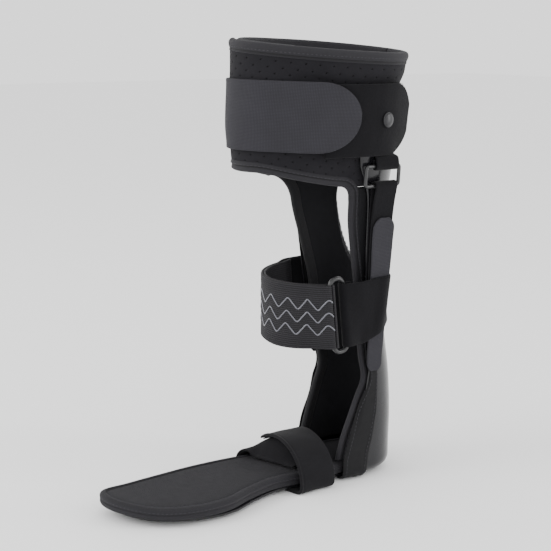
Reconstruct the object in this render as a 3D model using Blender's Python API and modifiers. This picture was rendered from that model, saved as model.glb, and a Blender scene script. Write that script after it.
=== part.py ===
"""Ankle foot orthosis: a one-piece plastic shell with a padded calf cuff, an insole and its straps.

Frame: +Z up, toes towards -Y, the outer (lateral) side of the left foot towards +X.
Sizes are in metres. The design is drawn with z = 0 on the underside of the foot plate and
y = 0 under the middle of the leg, then PLACE moves it so that it stands on z = 0, centred.
"""

import math

import bmesh
import bpy
from mathutils import Vector

OBJECT_NAME = "ankle_foot_orthosis"

# Where the drawing's own origin goes: the straps under the sole lift it off the ground.
PLACE = Vector((-0.0004, 0.0560, 0.0020))

GAP = 0.0004  # clearance between touching layers
LATERAL, MEDIAL = 1, -1

# The leg: height, half width, back line and depth of the front half of the shell's outer face.
LEG = (
    (-0.010, 0.0310, 0.0622, 0.060),
    (0.020, 0.0312, 0.0622, 0.060),
    (0.040, 0.0315, 0.0626, 0.055),
    (0.060, 0.0315, 0.0617, 0.046),
    (0.080, 0.0316, 0.0596, 0.037),
    (0.100, 0.0318, 0.0562, 0.033),
    (0.130, 0.0325, 0.0512, 0.0325),
    (0.160, 0.0345, 0.0496, 0.0345),
    (0.190, 0.0380, 0.0506, 0.048),
    (0.222, 0.0430, 0.0540, 0.077),
    (0.255, 0.0485, 0.0590, 0.083),
    (0.288, 0.0510, 0.0625, 0.083),
    (0.330, 0.0565, 0.0690, 0.082),
)

# Shell
SHELL_THICKNESS = 0.0026
SHELL_TOP = 0.288
HEEL_ROUNDING = 0.008
HEEL_FLANGE = 0.005
FLANGE_LIFT = 0.0003  # the flange sits just above the plate's underside, inside the joint
SHELL_FRONT = (  # height and y of the shell's front edges
    (0.000, 0.008),
    (0.050, 0.013),
    (0.100, 0.020),
    (0.150, 0.017),
    (0.198, 0.0148),
    (0.213, 0.0122),
    (0.224, 0.0077),
    (0.235, 0.0026),
    (0.262, 0.0000),
    (0.280, 0.0010),
    (0.290, 0.0080),
)
WINDOW_LOW, WINDOW_WIDE_AT, WINDOW_HIGH = 0.148, 0.203, 0.230
WINDOW_HALF_WIDTH = 0.0245
WINDOW_AXIS_Y, WINDOW_FACE_Y = 0.0126, 0.0360  # the leg's axis there, and where the half width is taken
WINDOW_CUTTER_Y = (0.0220, 0.0750)  # the cutter's front and rear faces

# Foot plate and insole
PLATE_THICKNESS = 0.0026
PLATE_SHORTER = 0.0050
PLATE_INSET = 0.0018
INSOLE_BOTTOM, INSOLE_TOP = 0.0030, 0.0113
BINDING_RADIUS = 0.0022
FOOT_OUTLINE = (  # the insole's edge: x, y, from the heel round the outer side to the toe and back
    (0.000, 0.0545),
    (0.0160, 0.0490),
    (0.0235, 0.0330),
    (0.0243, 0.0130),
    (0.0262, -0.0070),
    (0.0262, -0.0300),
    (0.0248, -0.0560),
    (0.0310, -0.0800),
    (0.0385, -0.1000),
    (0.0400, -0.1180),
    (0.0350, -0.1400),
    (0.0225, -0.1590),
    (0.0060, -0.1710),
    (-0.0100, -0.1750),
    (-0.0225, -0.1705),
    (-0.0288, -0.1580),
    (-0.0310, -0.1400),
    (-0.0330, -0.1150),
    (-0.0345, -0.0900),
    (-0.0335, -0.0600),
    (-0.0300, -0.0300),
    (-0.0268, -0.0070),
    (-0.0243, 0.0130),
    (-0.0235, 0.0330),
    (-0.0160, 0.0490),
)

# Padded cuff and liner
PAD_THICKNESS = 0.0038
PAD_GAP = 0.0006
FLAP_LAP = 0.0052
CUFF_SLIT = 0.9  # degrees left open between the cuff's back and each flap
CUFF_TOP, CUFF_TOP_SLOPE = 0.317, 0.08
CUFF_BOTTOM_FRONT, CUFF_BOTTOM_SIDE = 0.2315, 0.2195
TAPE_HEIGHT, TAPE_PROUD = 0.008, 0.0005
CUFF_MIDDLE_Y = 0.011
OUTER_FLAP_HINGE, OUTER_FLAP_END = 121, 210
INNER_FLAP_HINGE, INNER_FLAP_END = -95, -220
LINER_BOTTOM = 0.0130
TAPE_TURN = 100  # where the cuff's bottom tape turns down into the liner's piping
LINER_FRONT = (  # height and y of the liner's front edges
    (0.010, 0.0050),
    (0.030, 0.0100),
    (0.044, 0.0150),
    (0.060, 0.0210),
    (0.074, 0.0260),
    (0.090, 0.0235),
    (0.120, 0.0190),
    (0.146, 0.0160),
    (0.164, 0.0125),
    (0.180, 0.0090),
    (0.195, 0.0058),
    (0.210, 0.0040),
    (0.220, 0.0020),
)
PIPING_RADIUS = 0.0016

# Calf strap, its loop tab and the rivets
CALF_STRAP_WIDTH, CALF_STRAP_THICKNESS = 0.050, 0.0015
CALF_STRAP_MIDDLE, CALF_STRAP_SLOPE = 0.268, 0.03
CALF_STRAP_REAR, CALF_STRAP_HINGE, CALF_STRAP_TIP = -62, -103, -262
STRAP_SLIT = 0.6  # degrees between the strap and its anchor
STRAP_TIP_PACE = 0.00094  # metres along the strap for each degree round the leg, near its tip
STRAP_TIP_BLUNT = 0.0012  # how far before a full half circle the round tip is cut
LOOP_TAB_FRONT, LOOP_TAB_REAR, LOOP_TAB_THICKNESS = 118, 66, 0.0020
LOOP_TAB_HEIGHT, LOOP_TAB_TAIL = 0.2665, 0.0165
RIVET_PHI, RIVET_Z = 81, 0.2665
RIVET_HEAD, RIVET_SHANK, RIVET_HOLE = 0.0052, 0.0020, 0.0023
RIVET_DOME, RIVET_RIM = 0.0022, 0.0004

# Side straps
SIDE_STRAP_WIDTH, SIDE_STRAP_THICKNESS = 0.025, 0.0012
SIDE_STRAP_LOW_WIDTH = 0.018  # it narrows towards the ankle
WEBBING_TOP, WEBBING_LEAVES = 0.279, 0.2412  # the upper webbing's end, and where it leaves the shell
SIDE_STRAP_INNER, SIDE_STRAP_OUTER = (0.121, 0.200), (0.205, 0.130)  # the heights of its two runs
SIDE_RING_WIRE = 0.0014
SIDE_RING_TOP = Vector((0.0480, 0.0200, 0.2320))
SIDE_RING_BOTTOM = Vector((0.0470, 0.0200, 0.2212))
SIDE_RING_WIDTH, SIDE_RING_CORNER = 0.0300, 0.0020
SIDE_STRAP_OUT = (0.0346, 0.0498)  # the strap's outer face at the ankle and at the ring
HOOK_TAB_TOP, HOOK_TAB_BOTTOM = 0.1970, 0.0810
HOOK_TAB_WIDTHS = (0.0250, 0.0130)
HOOK_TAB_THICKNESS = 0.0013

# Stirrup strap under the heel: height and rear edge
STIRRUP_THICKNESS = 0.0014
STIRRUP_TOP = 0.100
STIRRUP_TIGHTER = 0.0024  # how much tighter than the heel's own rounding it bends
STIRRUP_FLAT, STIRRUP_BELOW = 0.0300, 0.0260  # half its flat stretch, and half its length beyond the rise
STIRRUP_REAR = (
    (0.000, 0.0235),
    (0.016, 0.0253),
    (0.027, 0.0280),
    (0.042, 0.0305),
    (0.060, 0.0320),
    (0.105, 0.0308),
)

# Ankle strap
ANKLE_TOP, ANKLE_SLOPE, ANKLE_WIDTH = 0.1535, 0.035, 0.0475
ANKLE_BACK_RISE = 0.008  # how much the strap's bottom edge rises round the back
ANKLE_LEAN, ANKLE_BACK_LEAN = 0.115, -0.11
ELASTIC_THICKNESS = 0.0016
PILE_THICKNESS = 0.0013
ANKLE_LOOP = Vector((0.0385, 0.0472, 0.0080))  # half width, depth of the front half, centre y
ANKLE_RING_WIRE = 0.0017
ANKLE_RING_CENTRE = Vector((0.0372, -0.0092, 0.1270))
ANKLE_RING_LENGTH, ANKLE_RING_WIDTH, ANKLE_RING_CORNER = 0.0555, 0.0115, 0.0050
WIDTH_IN_RING = 0.0440  # the strap bunches a little where it passes through the ring
HOOK_PATCH_THICKNESS = 0.0008
ANKLE_RING_TILT = math.radians(6.5)
ANKLE_BACK = (  # the pile strap's inner face from the ring's rear leg to the middle of the back
    (0.0400, 0.0050),
    (0.0402, 0.0200),
    (0.0400, 0.0305),
    (0.0295, 0.0405),
    (0.0160, 0.0492),
    (0.0000, 0.0536),
)
ELASTIC_INNER_MIDDLE = Vector((0.0290, -0.0215))  # points on its two faces between the ring and the front
ELASTIC_OUTER_MIDDLE = Vector((0.0372, -0.0205))
ANKLE_LANDING = ((0.0398, 0.0010), (0.0402, 0.0100), (0.0402, 0.0190))  # on the pile strap, where it hooks on

# Instep strap
INSTEP_THICKNESS = 0.0016
INSTEP_WIDTH = 0.031
INSTEP_MIDDLE_Y = -0.0240
INSTEP_SIDE, INSTEP_CREST = 0.0335, 0.0315
INSTEP_CORNER = 0.0040
INSTEP_SLANT, LOWER_FLAP_SLANT = 0.07, 0.29
LATERAL_ROUNDNESS, MEDIAL_ROUNDNESS = 0.95, 1.0
MEDIAL_END_Y, LOWER_FLAP_WIDTH = -0.0355, 0.029
LOWER_FLAP_TAIL = (Vector((0.0120, 0.0225)), Vector((0.0185, 0.0160)))  # x and z of its last stretch
FLAP_REST = 0.0130  # the lower flap's front edge lies just over the insole

MATERIALS = {  # base colour, roughness, metallic
    "shell_plastic": ((0.012, 0.012, 0.013), 0.22, 0.0),
    "cuff_fabric": ((0.020, 0.019, 0.023), 0.9, 0.0),
    "binding_tape": ((0.036, 0.034, 0.040), 0.85, 0.0),
    "hook_tape": ((0.045, 0.043, 0.052), 0.8, 0.0),
    "pile_fabric": ((0.014, 0.014, 0.016), 0.95, 0.0),
    "elastic_webbing": ((0.030, 0.030, 0.032), 0.8, 0.0),
    "black_wire": ((0.030, 0.030, 0.032), 0.25, 0.8),
    "rivet_metal": ((0.035, 0.034, 0.038), 0.3, 0.7),
    "insole_mesh": ((0.042, 0.041, 0.045), 0.9, 0.0),
}


# ---------- scene and object helpers ----------

def clear_scene():
    for obj in list(bpy.data.objects):
        bpy.data.objects.remove(obj, do_unlink=True)


def new_collection(name, hidden=False):
    collection = bpy.data.collections.new(name)
    collection.hide_render = hidden
    bpy.context.scene.collection.children.link(collection)
    return collection


def new_material(name):
    colour, roughness, metallic = MATERIALS[name]
    material = bpy.data.materials.new(name)
    material.use_nodes = True
    shader = material.node_tree.nodes["Principled BSDF"]
    shader.inputs["Base Color"].default_value = (*colour, 1.0)
    shader.inputs["Roughness"].default_value = roughness
    shader.inputs["Metallic"].default_value = metallic
    return material


def add_object(name, mesh, slot, pivot=None):
    """Links a mesh drawn in the design frame; a moving piece gets its origin at its pivot."""
    origin = (pivot or Vector()).copy()
    for vert in mesh.vertices:
        vert.co -= origin
    obj = bpy.data.objects.new(name, mesh)
    obj.location = origin + PLACE
    mesh.materials.append(materials[slot])
    parts.objects.link(obj)
    return obj


def thicken(obj, thickness, side):
    """Solidify along the face normals (side 1) or against them (side -1)."""
    solidify = obj.modifiers.new("thickness", "SOLIDIFY")
    solidify.thickness = thickness
    solidify.offset = side
    solidify.use_even_offset = True
    return obj


def bent_sheet(name, columns, rows, place, thickness, side, slot, pivot=None):
    """A grid of columns by rows cells, each corner moved to place(column, row), then thickened."""
    mesh = bpy.data.meshes.new(name)
    grid = bmesh.new()
    bmesh.ops.create_grid(grid, x_segments=columns, y_segments=rows, size=0.5)
    for vert in grid.verts:
        column = round((vert.co.x + 0.5) * columns)
        row = round((vert.co.y + 0.5) * rows)
        vert.co = place(column, row)
    grid.to_mesh(mesh)
    grid.free()
    return thicken(add_object(name, mesh, slot, pivot), thickness, side)


def tube(name, points, radius, slot, cyclic=False, pivot=None, sides=2):
    """A round wire along points."""
    origin = (pivot or Vector()).copy()
    curve = bpy.data.curves.new(name, "CURVE")
    curve.dimensions = "3D"
    curve.bevel_depth = radius
    curve.bevel_resolution = sides
    curve.use_fill_caps = True
    spline = curve.splines.new("POLY")
    spline.points.add(len(points) - 1)
    for knot, point in zip(spline.points, points):
        knot.co = (*(Vector(point) - origin), 1.0)
    spline.use_cyclic_u = cyclic
    obj = bpy.data.objects.new(name, curve)
    obj.location = origin + PLACE
    curve.materials.append(materials[slot])
    parts.objects.link(obj)
    return obj


def cut(obj, cutter):
    boolean = obj.modifiers.new("cut", "BOOLEAN")
    boolean.operation = "DIFFERENCE"
    boolean.object = cutter


def hide_as_cutter(obj):
    obj.hide_render = True
    obj.display_type = "WIRE"
    for collection in list(obj.users_collection):
        collection.objects.unlink(obj)
    cutters.objects.link(obj)
    return obj


# ---------- geometry helpers ----------

def mix(low, high, share):
    return low + (high - low) * share


def ease(low, high, value):
    """0 before low, 1 after high, smooth between."""
    share = min(max((value - low) / (high - low), 0.0), 1.0)
    return share * share * (3 - 2 * share)


def through(stations, at, column=1):
    """Smooth value of one column of a table of stations, at one value of its first column."""
    last = len(stations) - 1
    at = min(max(at, stations[0][0]), stations[last][0])
    index = max(i for i in range(last) if stations[i][0] <= at)

    def slope(i):
        before, after = stations[max(i - 1, 0)], stations[min(i + 1, last)]
        return (after[column] - before[column]) / (after[0] - before[0])

    start, end = stations[index], stations[index + 1]
    span = end[0] - start[0]
    t = (at - start[0]) / span
    return (
        start[column] * (1 + 2 * t) * (1 - t) ** 2
        + slope(index) * span * t * (1 - t) ** 2
        + end[column] * t * t * (3 - 2 * t)
        - slope(index + 1) * span * t * t * (1 - t)
    )


def spline_points(knots, per_span, closed=False):
    """Points on a Catmull-Rom curve through knots."""
    knots = [Vector(knot) for knot in knots]
    count = len(knots)
    spans = count if closed else count - 1
    points = []
    for span in range(spans):
        if closed:
            a, b, c, d = (knots[(span + k) % count] for k in (-1, 0, 1, 2))
        else:
            a, b, c, d = (knots[min(max(span + k, 0), count - 1)] for k in (-1, 0, 1, 2))
        for step in range(per_span):
            t = step / per_span
            points.append(
                0.5 * (2 * b + (c - a) * t + (2 * a - 5 * b + 4 * c - d) * t * t
                       + (3 * b - a - 3 * c + d) * t ** 3)
            )
    if not closed:
        points.append(knots[-1])
    return points


def arc(centre, radius, start, end, steps):
    """Points of a 2D arc, angles in degrees."""
    angles = [math.radians(mix(start, end, i / steps)) for i in range(steps + 1)]
    return [Vector((centre[0] + radius * math.cos(t), centre[1] + radius * math.sin(t))) for t in angles]


def leg_size(z):
    """Half width, depth of the front half and centre y of the shell's outer face at height z."""
    half = through(LEG, z, 1)
    return half, through(LEG, z, 3), through(LEG, z, 2) - half


def on_leg(phi, z, out=0.0):
    """A point round the leg: phi in degrees from the back, positive to the lateral side."""
    half, front, centre = leg_size(z)
    angle = math.radians(phi)
    depth = half if math.cos(angle) > 0 else front
    return Vector(((half + out) * math.sin(angle), centre + (depth + out) * math.cos(angle), z))


def phi_at(y, z, out=0.0):
    """The angle round the leg at which a level section reaches y."""
    half, front, centre = leg_size(z)
    depth = half if y > centre else front
    return math.degrees(math.acos(min(max((y - centre) / (depth + out), -1.0), 1.0)))


def side_x(y, z, out=0.0):
    """How far the leg's side is from the middle plane at y and z."""
    return on_leg(phi_at(y, z, out), z, out).x


def outward(phi, z):
    """The level direction that points away from the leg."""
    step = on_leg(phi + 1, z) - on_leg(phi - 1, z)
    return Vector((-step.y, step.x, 0)).normalized()


# ---------- shell ----------

def shell_rows():
    """Height and inset of each row of the upright, from the flange under the heel to the top."""
    rows = [(FLANGE_LIFT, HEEL_ROUNDING + HEEL_FLANGE)]
    for step in range(5):
        turn = math.radians(90 * step / 4)
        lift = HEEL_ROUNDING * (1 - math.cos(turn))
        rows.append((FLANGE_LIFT + lift, HEEL_ROUNDING * (1 - math.sin(turn))))
    count = 20
    rows += [(mix(HEEL_ROUNDING, SHELL_TOP, (k + 1) / count), 0.0) for k in range(count)]
    return rows


def window_outline():
    """A teardrop, round at the top and narrow at the bottom, as x and z."""
    outline = []
    steps = 24
    for step in range(steps):
        turn = 2 * math.pi * step / steps
        height = math.cos(turn)
        reach = (WINDOW_HIGH - WINDOW_WIDE_AT) if height > 0 else (WINDOW_WIDE_AT - WINDOW_LOW)
        narrow = 1.0 if height > 0 else 1.0 + 0.25 * height
        outline.append((WINDOW_HALF_WIDTH * math.sin(turn) * narrow, WINDOW_WIDE_AT + reach * height))
    return outline


def make_window_cutter():
    """The posterior window: it widens away from the leg's axis, so its wall crosses the shell squarely."""
    mesh = bpy.data.meshes.new("window_cutter")
    shape = bmesh.new()
    corners = [shape.verts.new((x, WINDOW_FACE_Y, z)) for x, z in window_outline()]
    face = shape.faces.new(corners)
    pushed = bmesh.ops.extrude_face_region(shape, geom=[face])["geom"]
    rear = [item for item in pushed if isinstance(item, bmesh.types.BMVert)]
    for end, y in zip((corners, rear), WINDOW_CUTTER_Y):
        for vert in end:
            vert.co.x *= (y - WINDOW_AXIS_Y) / (WINDOW_FACE_Y - WINDOW_AXIS_Y)
            vert.co.y = y
    bmesh.ops.recalc_face_normals(shape, faces=shape.faces)
    shape.to_mesh(mesh)
    shape.free()
    return hide_as_cutter(add_object("window_cutter", mesh, "shell_plastic"))


def offset_outline(points, inset):
    """Moves each point of a closed outline inwards."""
    moved = []
    for index, point in enumerate(points):
        along = points[(index + 1) % len(points)] - points[index - 1]
        moved.append(point + Vector((along.y, -along.x)).normalized() * inset)
    return moved


def foot_outline(inset, shorter=0.0):
    """The insole's edge, drawn in by inset and shortened at the toe."""
    heel = FOOT_OUTLINE[0][1]
    length = heel - min(y for x, y in FOOT_OUTLINE)
    drawn = [Vector((x, heel + (y - heel) * (1 - shorter / length))) for x, y in FOOT_OUTLINE]
    points = spline_points(drawn, 2, closed=True)
    return offset_outline(points, inset)


def flat_plate(name, outline, low, high, slot):
    """A 2D outline extruded between two heights."""
    curve = bpy.data.curves.new(name, "CURVE")
    curve.dimensions = "2D"
    curve.fill_mode = "BOTH"
    curve.extrude = (high - low) / 2
    spline = curve.splines.new("POLY")
    spline.points.add(len(outline) - 1)
    for knot, point in zip(spline.points, outline):
        knot.co = (point.x, point.y, 0, 1)
    spline.use_cyclic_u = True
    obj = bpy.data.objects.new(name, curve)
    obj.location = Vector((0, 0, (low + high) / 2)) + PLACE
    curve.materials.append(materials[slot])
    parts.objects.link(obj)
    return obj


def as_mesh(obj):
    """Turns a curve object into a welded mesh object of the same name."""
    name = obj.name
    bpy.context.view_layer.update()
    evaluated = obj.evaluated_get(bpy.context.evaluated_depsgraph_get())
    mesh = bpy.data.meshes.new_from_object(evaluated)
    weld = bmesh.new()
    weld.from_mesh(mesh)
    bmesh.ops.remove_doubles(weld, verts=weld.verts, dist=0.00001)
    weld.to_mesh(mesh)
    weld.free()
    made = bpy.data.objects.new(name + "_mesh", mesh)
    made.matrix_world = obj.matrix_world.copy()
    bpy.data.objects.remove(obj)
    made.name = name
    parts.objects.link(made)
    return made


def make_shell(window, rivets):
    """One moulding: the upright round the heel and calf, joined to the flat foot plate."""
    rows = shell_rows()
    columns = 18

    def place(column, row):
        z, inset = rows[row]
        reach = phi_at(through(SHELL_FRONT, z), z)
        return on_leg(mix(-reach, reach, column / columns), z, -inset)

    shell = bent_sheet("shell", columns, len(rows) - 1, place, SHELL_THICKNESS, 1, "shell_plastic")
    for cutter in (window, *rivets):
        cut(shell, cutter)
    plate_line = foot_outline(PLATE_INSET, PLATE_SHORTER)
    plate = as_mesh(flat_plate("foot_plate", plate_line, 0.0, PLATE_THICKNESS, "shell_plastic"))
    hide_as_cutter(plate)
    join = shell.modifiers.new("foot plate", "BOOLEAN")
    join.operation = "UNION"
    join.object = plate


# ---------- insole ----------

def make_insole():
    """The flat sole and the round binding along its edge."""
    flat_plate("insole", foot_outline(2 * BINDING_RADIUS + GAP), INSOLE_BOTTOM, INSOLE_TOP, "insole_mesh")
    height = (INSOLE_BOTTOM + INSOLE_TOP) / 2
    edge = [Vector((p.x, p.y, height)) for p in foot_outline(BINDING_RADIUS)]
    tube("insole_binding", edge, BINDING_RADIUS, "binding_tape", cyclic=True)


# ---------- cuff and liner ----------

PAD_OUT = -SHELL_THICKNESS - PAD_GAP - PAD_THICKNESS  # the pad's inner face, from the shell's outer face


def cuff_top(phi):
    y = on_leg(phi, CUFF_TOP).y
    return CUFF_TOP + CUFF_TOP_SLOPE * (CUFF_MIDDLE_Y - y)


def cuff_bottom(phi):
    turn = abs((phi + 180) % 360 - 180)
    return mix(CUFF_BOTTOM_SIDE, CUFF_BOTTOM_FRONT, ease(95, 165, turn))


def cuff_band(name, start, end, low, high, thickness, lap, columns, slot, pivot=None, rows=1):
    """A stretch of the cuff between two angles and two edges, lap(phi) being its set-back."""

    def place(column, row):
        phi = mix(start, end, column / columns)
        z = mix(low(phi), high(phi), row / rows)
        return on_leg(phi, z, PAD_OUT - lap(phi) - (thickness - PAD_THICKNESS) / 2)

    side = -1 if end > start else 1
    return bent_sheet(name, columns, rows, place, thickness, side, slot, pivot)


def make_cuff_section(name, start, end, lap, columns, pivot=None, tape_start=None):
    """The pad of one section and the tape along its top and bottom edges."""
    tape = TAPE_HEIGHT + GAP
    taped_from = start if tape_start is None else tape_start

    def low(phi):
        """The pad runs down to the liner where no tape closes its bottom edge."""
        taped = (phi - taped_from) / (end - start) >= -1 / columns
        return cuff_bottom(phi) + (tape if taped else 0.0)

    cuff_band(name, start, end, low, lambda phi: cuff_top(phi) - tape,
              PAD_THICKNESS, lap, columns, "cuff_fabric", pivot, rows=4)
    cuff_band(name + "_top_tape", start, end, lambda phi: cuff_top(phi) - TAPE_HEIGHT, cuff_top,
              PAD_THICKNESS + TAPE_PROUD, lap, columns, "binding_tape", pivot)
    share = (end - taped_from) / (end - start)
    cuff_band(name + "_bottom_tape", taped_from, end, cuff_bottom, lambda phi: cuff_bottom(phi) + TAPE_HEIGHT,
              PAD_THICKNESS + TAPE_PROUD, lap, max(round(columns * share), 3), "binding_tape", pivot)


def inner_lap(phi):
    """The inner flap steps inwards before the outer flap reaches it."""
    return FLAP_LAP * ease(-INNER_FLAP_HINGE, -INNER_FLAP_HINGE + 40, -phi)


def flap_pivot(phi):
    return on_leg(phi, CALF_STRAP_MIDDLE, PAD_OUT + PAD_THICKNESS + TAPE_PROUD)


def make_cuff():
    """The back half in the shell, and the two flaps that close over the shin."""
    make_cuff_section("cuff_back", INNER_FLAP_HINGE + CUFF_SLIT, OUTER_FLAP_HINGE - CUFF_SLIT,
                      lambda phi: 0.0, 30, tape_start=TAPE_TURN)
    make_cuff_section("cuff_outer_flap", OUTER_FLAP_HINGE, OUTER_FLAP_END, lambda phi: 0.0, 10,
                      flap_pivot(OUTER_FLAP_HINGE))
    make_cuff_section("cuff_inner_flap", INNER_FLAP_HINGE, INNER_FLAP_END, inner_lap, 14,
                      flap_pivot(INNER_FLAP_HINGE), tape_start=-TAPE_TURN)


def liner_reach(z):
    return phi_at(through(LINER_FRONT, z), z, PAD_OUT)


def make_liner(window):
    """The padding inside the shell, from the heel to the cuff, open at the window."""
    columns, rows = 16, 13
    top = CUFF_BOTTOM_SIDE - GAP

    def place(column, row):
        level = mix(LINER_BOTTOM, top, row / rows)
        reach = liner_reach(level)
        phi = mix(-reach, reach, column / columns)
        z = mix(LINER_BOTTOM, cuff_bottom(phi) - GAP, row / rows)
        return on_leg(phi, z, PAD_OUT)

    liner = bent_sheet("shank_liner", columns, rows, place, PAD_THICKNESS, -1, "cuff_fabric")
    cut(liner, window)

    for side, name in ((LATERAL, "lateral_piping"), (MEDIAL, "medial_piping")):
        edge = []
        for step in range(17):
            z = mix(LINER_BOTTOM + PIPING_RADIUS, top - PIPING_RADIUS, step / 16)
            point = on_leg(side * liner_reach(z), z, PAD_OUT + PAD_THICKNESS / 2)
            edge.append(point + Vector((0, -PIPING_RADIUS - 3 * GAP, 0)))
        tube(name, edge, PIPING_RADIUS, "binding_tape")


# ---------- calf strap ----------

def strap_middle(y):
    return CALF_STRAP_MIDDLE + CALF_STRAP_SLOPE * (CUFF_MIDDLE_Y - y)


TAB_OUT = GAP + SIDE_STRAP_THICKNESS + GAP
STRAP_OVER_TAB = TAB_OUT + LOOP_TAB_THICKNESS + 2 * GAP


def calf_strap_out(phi):
    """The strap's inner face: on the shell at the medial side, on the pad in front, on the tab at its tip."""
    on_pad = PAD_OUT + PAD_THICKNESS + TAPE_PROUD + GAP
    leaving = mix(TAB_OUT, on_pad, ease(105, 135, -phi))
    tip = 360 - LOOP_TAB_FRONT
    return mix(leaving, STRAP_OVER_TAB, ease(tip - 28, tip - 5, -phi))


def round_end(reach, radius):
    """Half the height left at a distance from a round end."""
    return radius if reach >= radius else math.sqrt(max(radius ** 2 - (radius - reach) ** 2, 0.0))


def calf_strap_piece(name, start, end, out, thickness, columns, slot, pivot, rounded):
    """A stretch of the calf strap. Its columns close up towards a rounded tip."""
    half = CALF_STRAP_WIDTH / 2

    def place(column, row):
        share = column / columns
        if rounded:
            share = 1 - (1 - share) ** 2
        phi = mix(start, end, share)
        height = half
        if rounded:
            reach = (phi - end) * STRAP_TIP_PACE + STRAP_TIP_BLUNT
            height = round_end(reach, half)
        y = on_leg(phi, CALF_STRAP_MIDDLE).y
        z = strap_middle(y) + height * (2 * row / 4 - 1)
        return on_leg(phi, z, out(phi))

    return bent_sheet(name, columns, 4, place, thickness, 1, slot, pivot)


def make_calf_strap():
    """The strap from its hinge line to its tip, and the anchor riveted to the shell behind it."""
    pivot = on_leg(CALF_STRAP_HINGE, CALF_STRAP_MIDDLE, TAB_OUT + CALF_STRAP_THICKNESS)
    calf_strap_piece("calf_strap", CALF_STRAP_HINGE, CALF_STRAP_TIP, calf_strap_out,
                     CALF_STRAP_THICKNESS, 30, "hook_tape", pivot, True)
    calf_strap_piece("calf_strap_anchor", CALF_STRAP_REAR, CALF_STRAP_HINGE + STRAP_SLIT, lambda phi: TAB_OUT,
                     CALF_STRAP_THICKNESS, 8, "hook_tape", None, False)


def make_loop_tab():
    """The pile tab that the calf strap presses onto: riveted to the shell, its round end standing off it."""
    half = CALF_STRAP_WIDTH / 2
    turns = [mix(LOOP_TAB_FRONT, LOOP_TAB_REAR, k / 10) for k in range(11)]
    wrapped = [on_leg(phi, LOOP_TAB_HEIGHT, TAB_OUT) for phi in turns]
    heading = (wrapped[-1] - wrapped[-2]).normalized()
    line = wrapped + [wrapped[-1] + heading * LOOP_TAB_TAIL * k / 6 for k in range(1, 7)]
    lengths = [0.0]
    for before, after in zip(line, line[1:]):
        lengths.append(lengths[-1] + (after - before).length)

    def place(column, row):
        reach = lengths[-1] - lengths[column] + 0.0015
        height = round_end(reach, half)
        z = height * (2 * row / 4 - 1)
        phi = turns[min(column, len(turns) - 1)]
        return line[column] + on_leg(phi, LOOP_TAB_HEIGHT + z) - on_leg(phi, LOOP_TAB_HEIGHT)

    return bent_sheet("loop_tab", len(line) - 1, 4, place, LOOP_TAB_THICKNESS, 1, "pile_fabric")


def make_rivet(name, side, stack):
    """A turned rivet through the shell: domed head outside, flat cap inside."""
    phi = side * RIVET_PHI
    seat = on_leg(phi, RIVET_Z)
    axis = outward(phi, RIVET_Z)
    head = stack + GAP
    inner_end = -SHELL_THICKNESS
    profile = [(0.0, head + RIVET_DOME)]
    for step in range(1, 5):
        turn = math.radians(90 * step / 4)
        height = RIVET_RIM + (RIVET_DOME - RIVET_RIM) * math.cos(turn)
        profile.append((RIVET_HEAD * math.sin(turn), head + height))
    profile += [(RIVET_HEAD, head), (RIVET_SHANK, head), (RIVET_SHANK, inner_end), (0.0, inner_end)]
    mesh = bpy.data.meshes.new(name)
    mesh.from_pydata([(radius, 0, height) for radius, height in profile],
                     [(k, k + 1) for k in range(len(profile) - 1)], [])
    obj = add_object(name, mesh, "rivet_metal")
    turn = obj.modifiers.new("turned", "SCREW")
    turn.angle = math.tau
    turn.steps = 16
    turn.render_steps = 16
    turn.use_merge_vertices = True
    turn.merge_threshold = 0.00001
    obj.location = seat + PLACE
    obj.rotation_mode = "QUATERNION"
    obj.rotation_quaternion = Vector((0, 0, 1)).rotation_difference(axis)
    return obj


def make_rivet_cutter(name, side):
    phi = side * RIVET_PHI
    bpy.ops.mesh.primitive_cylinder_add(vertices=16, radius=RIVET_HOLE, depth=0.024)
    cutter = bpy.context.object
    cutter.name = name
    cutter.location = on_leg(phi, RIVET_Z) + PLACE
    cutter.rotation_mode = "QUATERNION"
    cutter.rotation_quaternion = Vector((0, 0, 1)).rotation_difference(outward(phi, RIVET_Z))
    return hide_as_cutter(cutter)


# ---------- side straps ----------

def mirrored(points, side):
    return [Vector((side * p.x, p.y, p.z)) for p in points]


def side_ribbon(name, line, width, thickness, slot, side, centre_y, hug=None):
    """A webbing drawn as x and z points, its width along y; hug(z) is how closely it follows the leg."""
    last = len(line) - 1
    rows = 4 if hug else 1

    def place(column, row):
        x, z = line[column]
        y = centre_y(z) + width(column) * (row / rows - 0.5)
        if hug:
            x = mix(x, side_x(y, z, GAP), hug(z))
        return Vector((side * x, y, z))

    return bent_sheet(name, last, rows, place, thickness, side, slot)


def strap_line_x(z):
    """How far out the side strap's outer face runs: straight from the calf to the ankle."""
    return mix(*SIDE_STRAP_OUT, (z - 0.090) / (SIDE_RING_BOTTOM.z - 0.090))


def strap_line_y(z):
    """The side strap leans a little forward between the ring and the ankle."""
    return mix(0.0235, SIDE_RING_BOTTOM.y, ease(0.080, 0.200, z))


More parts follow.
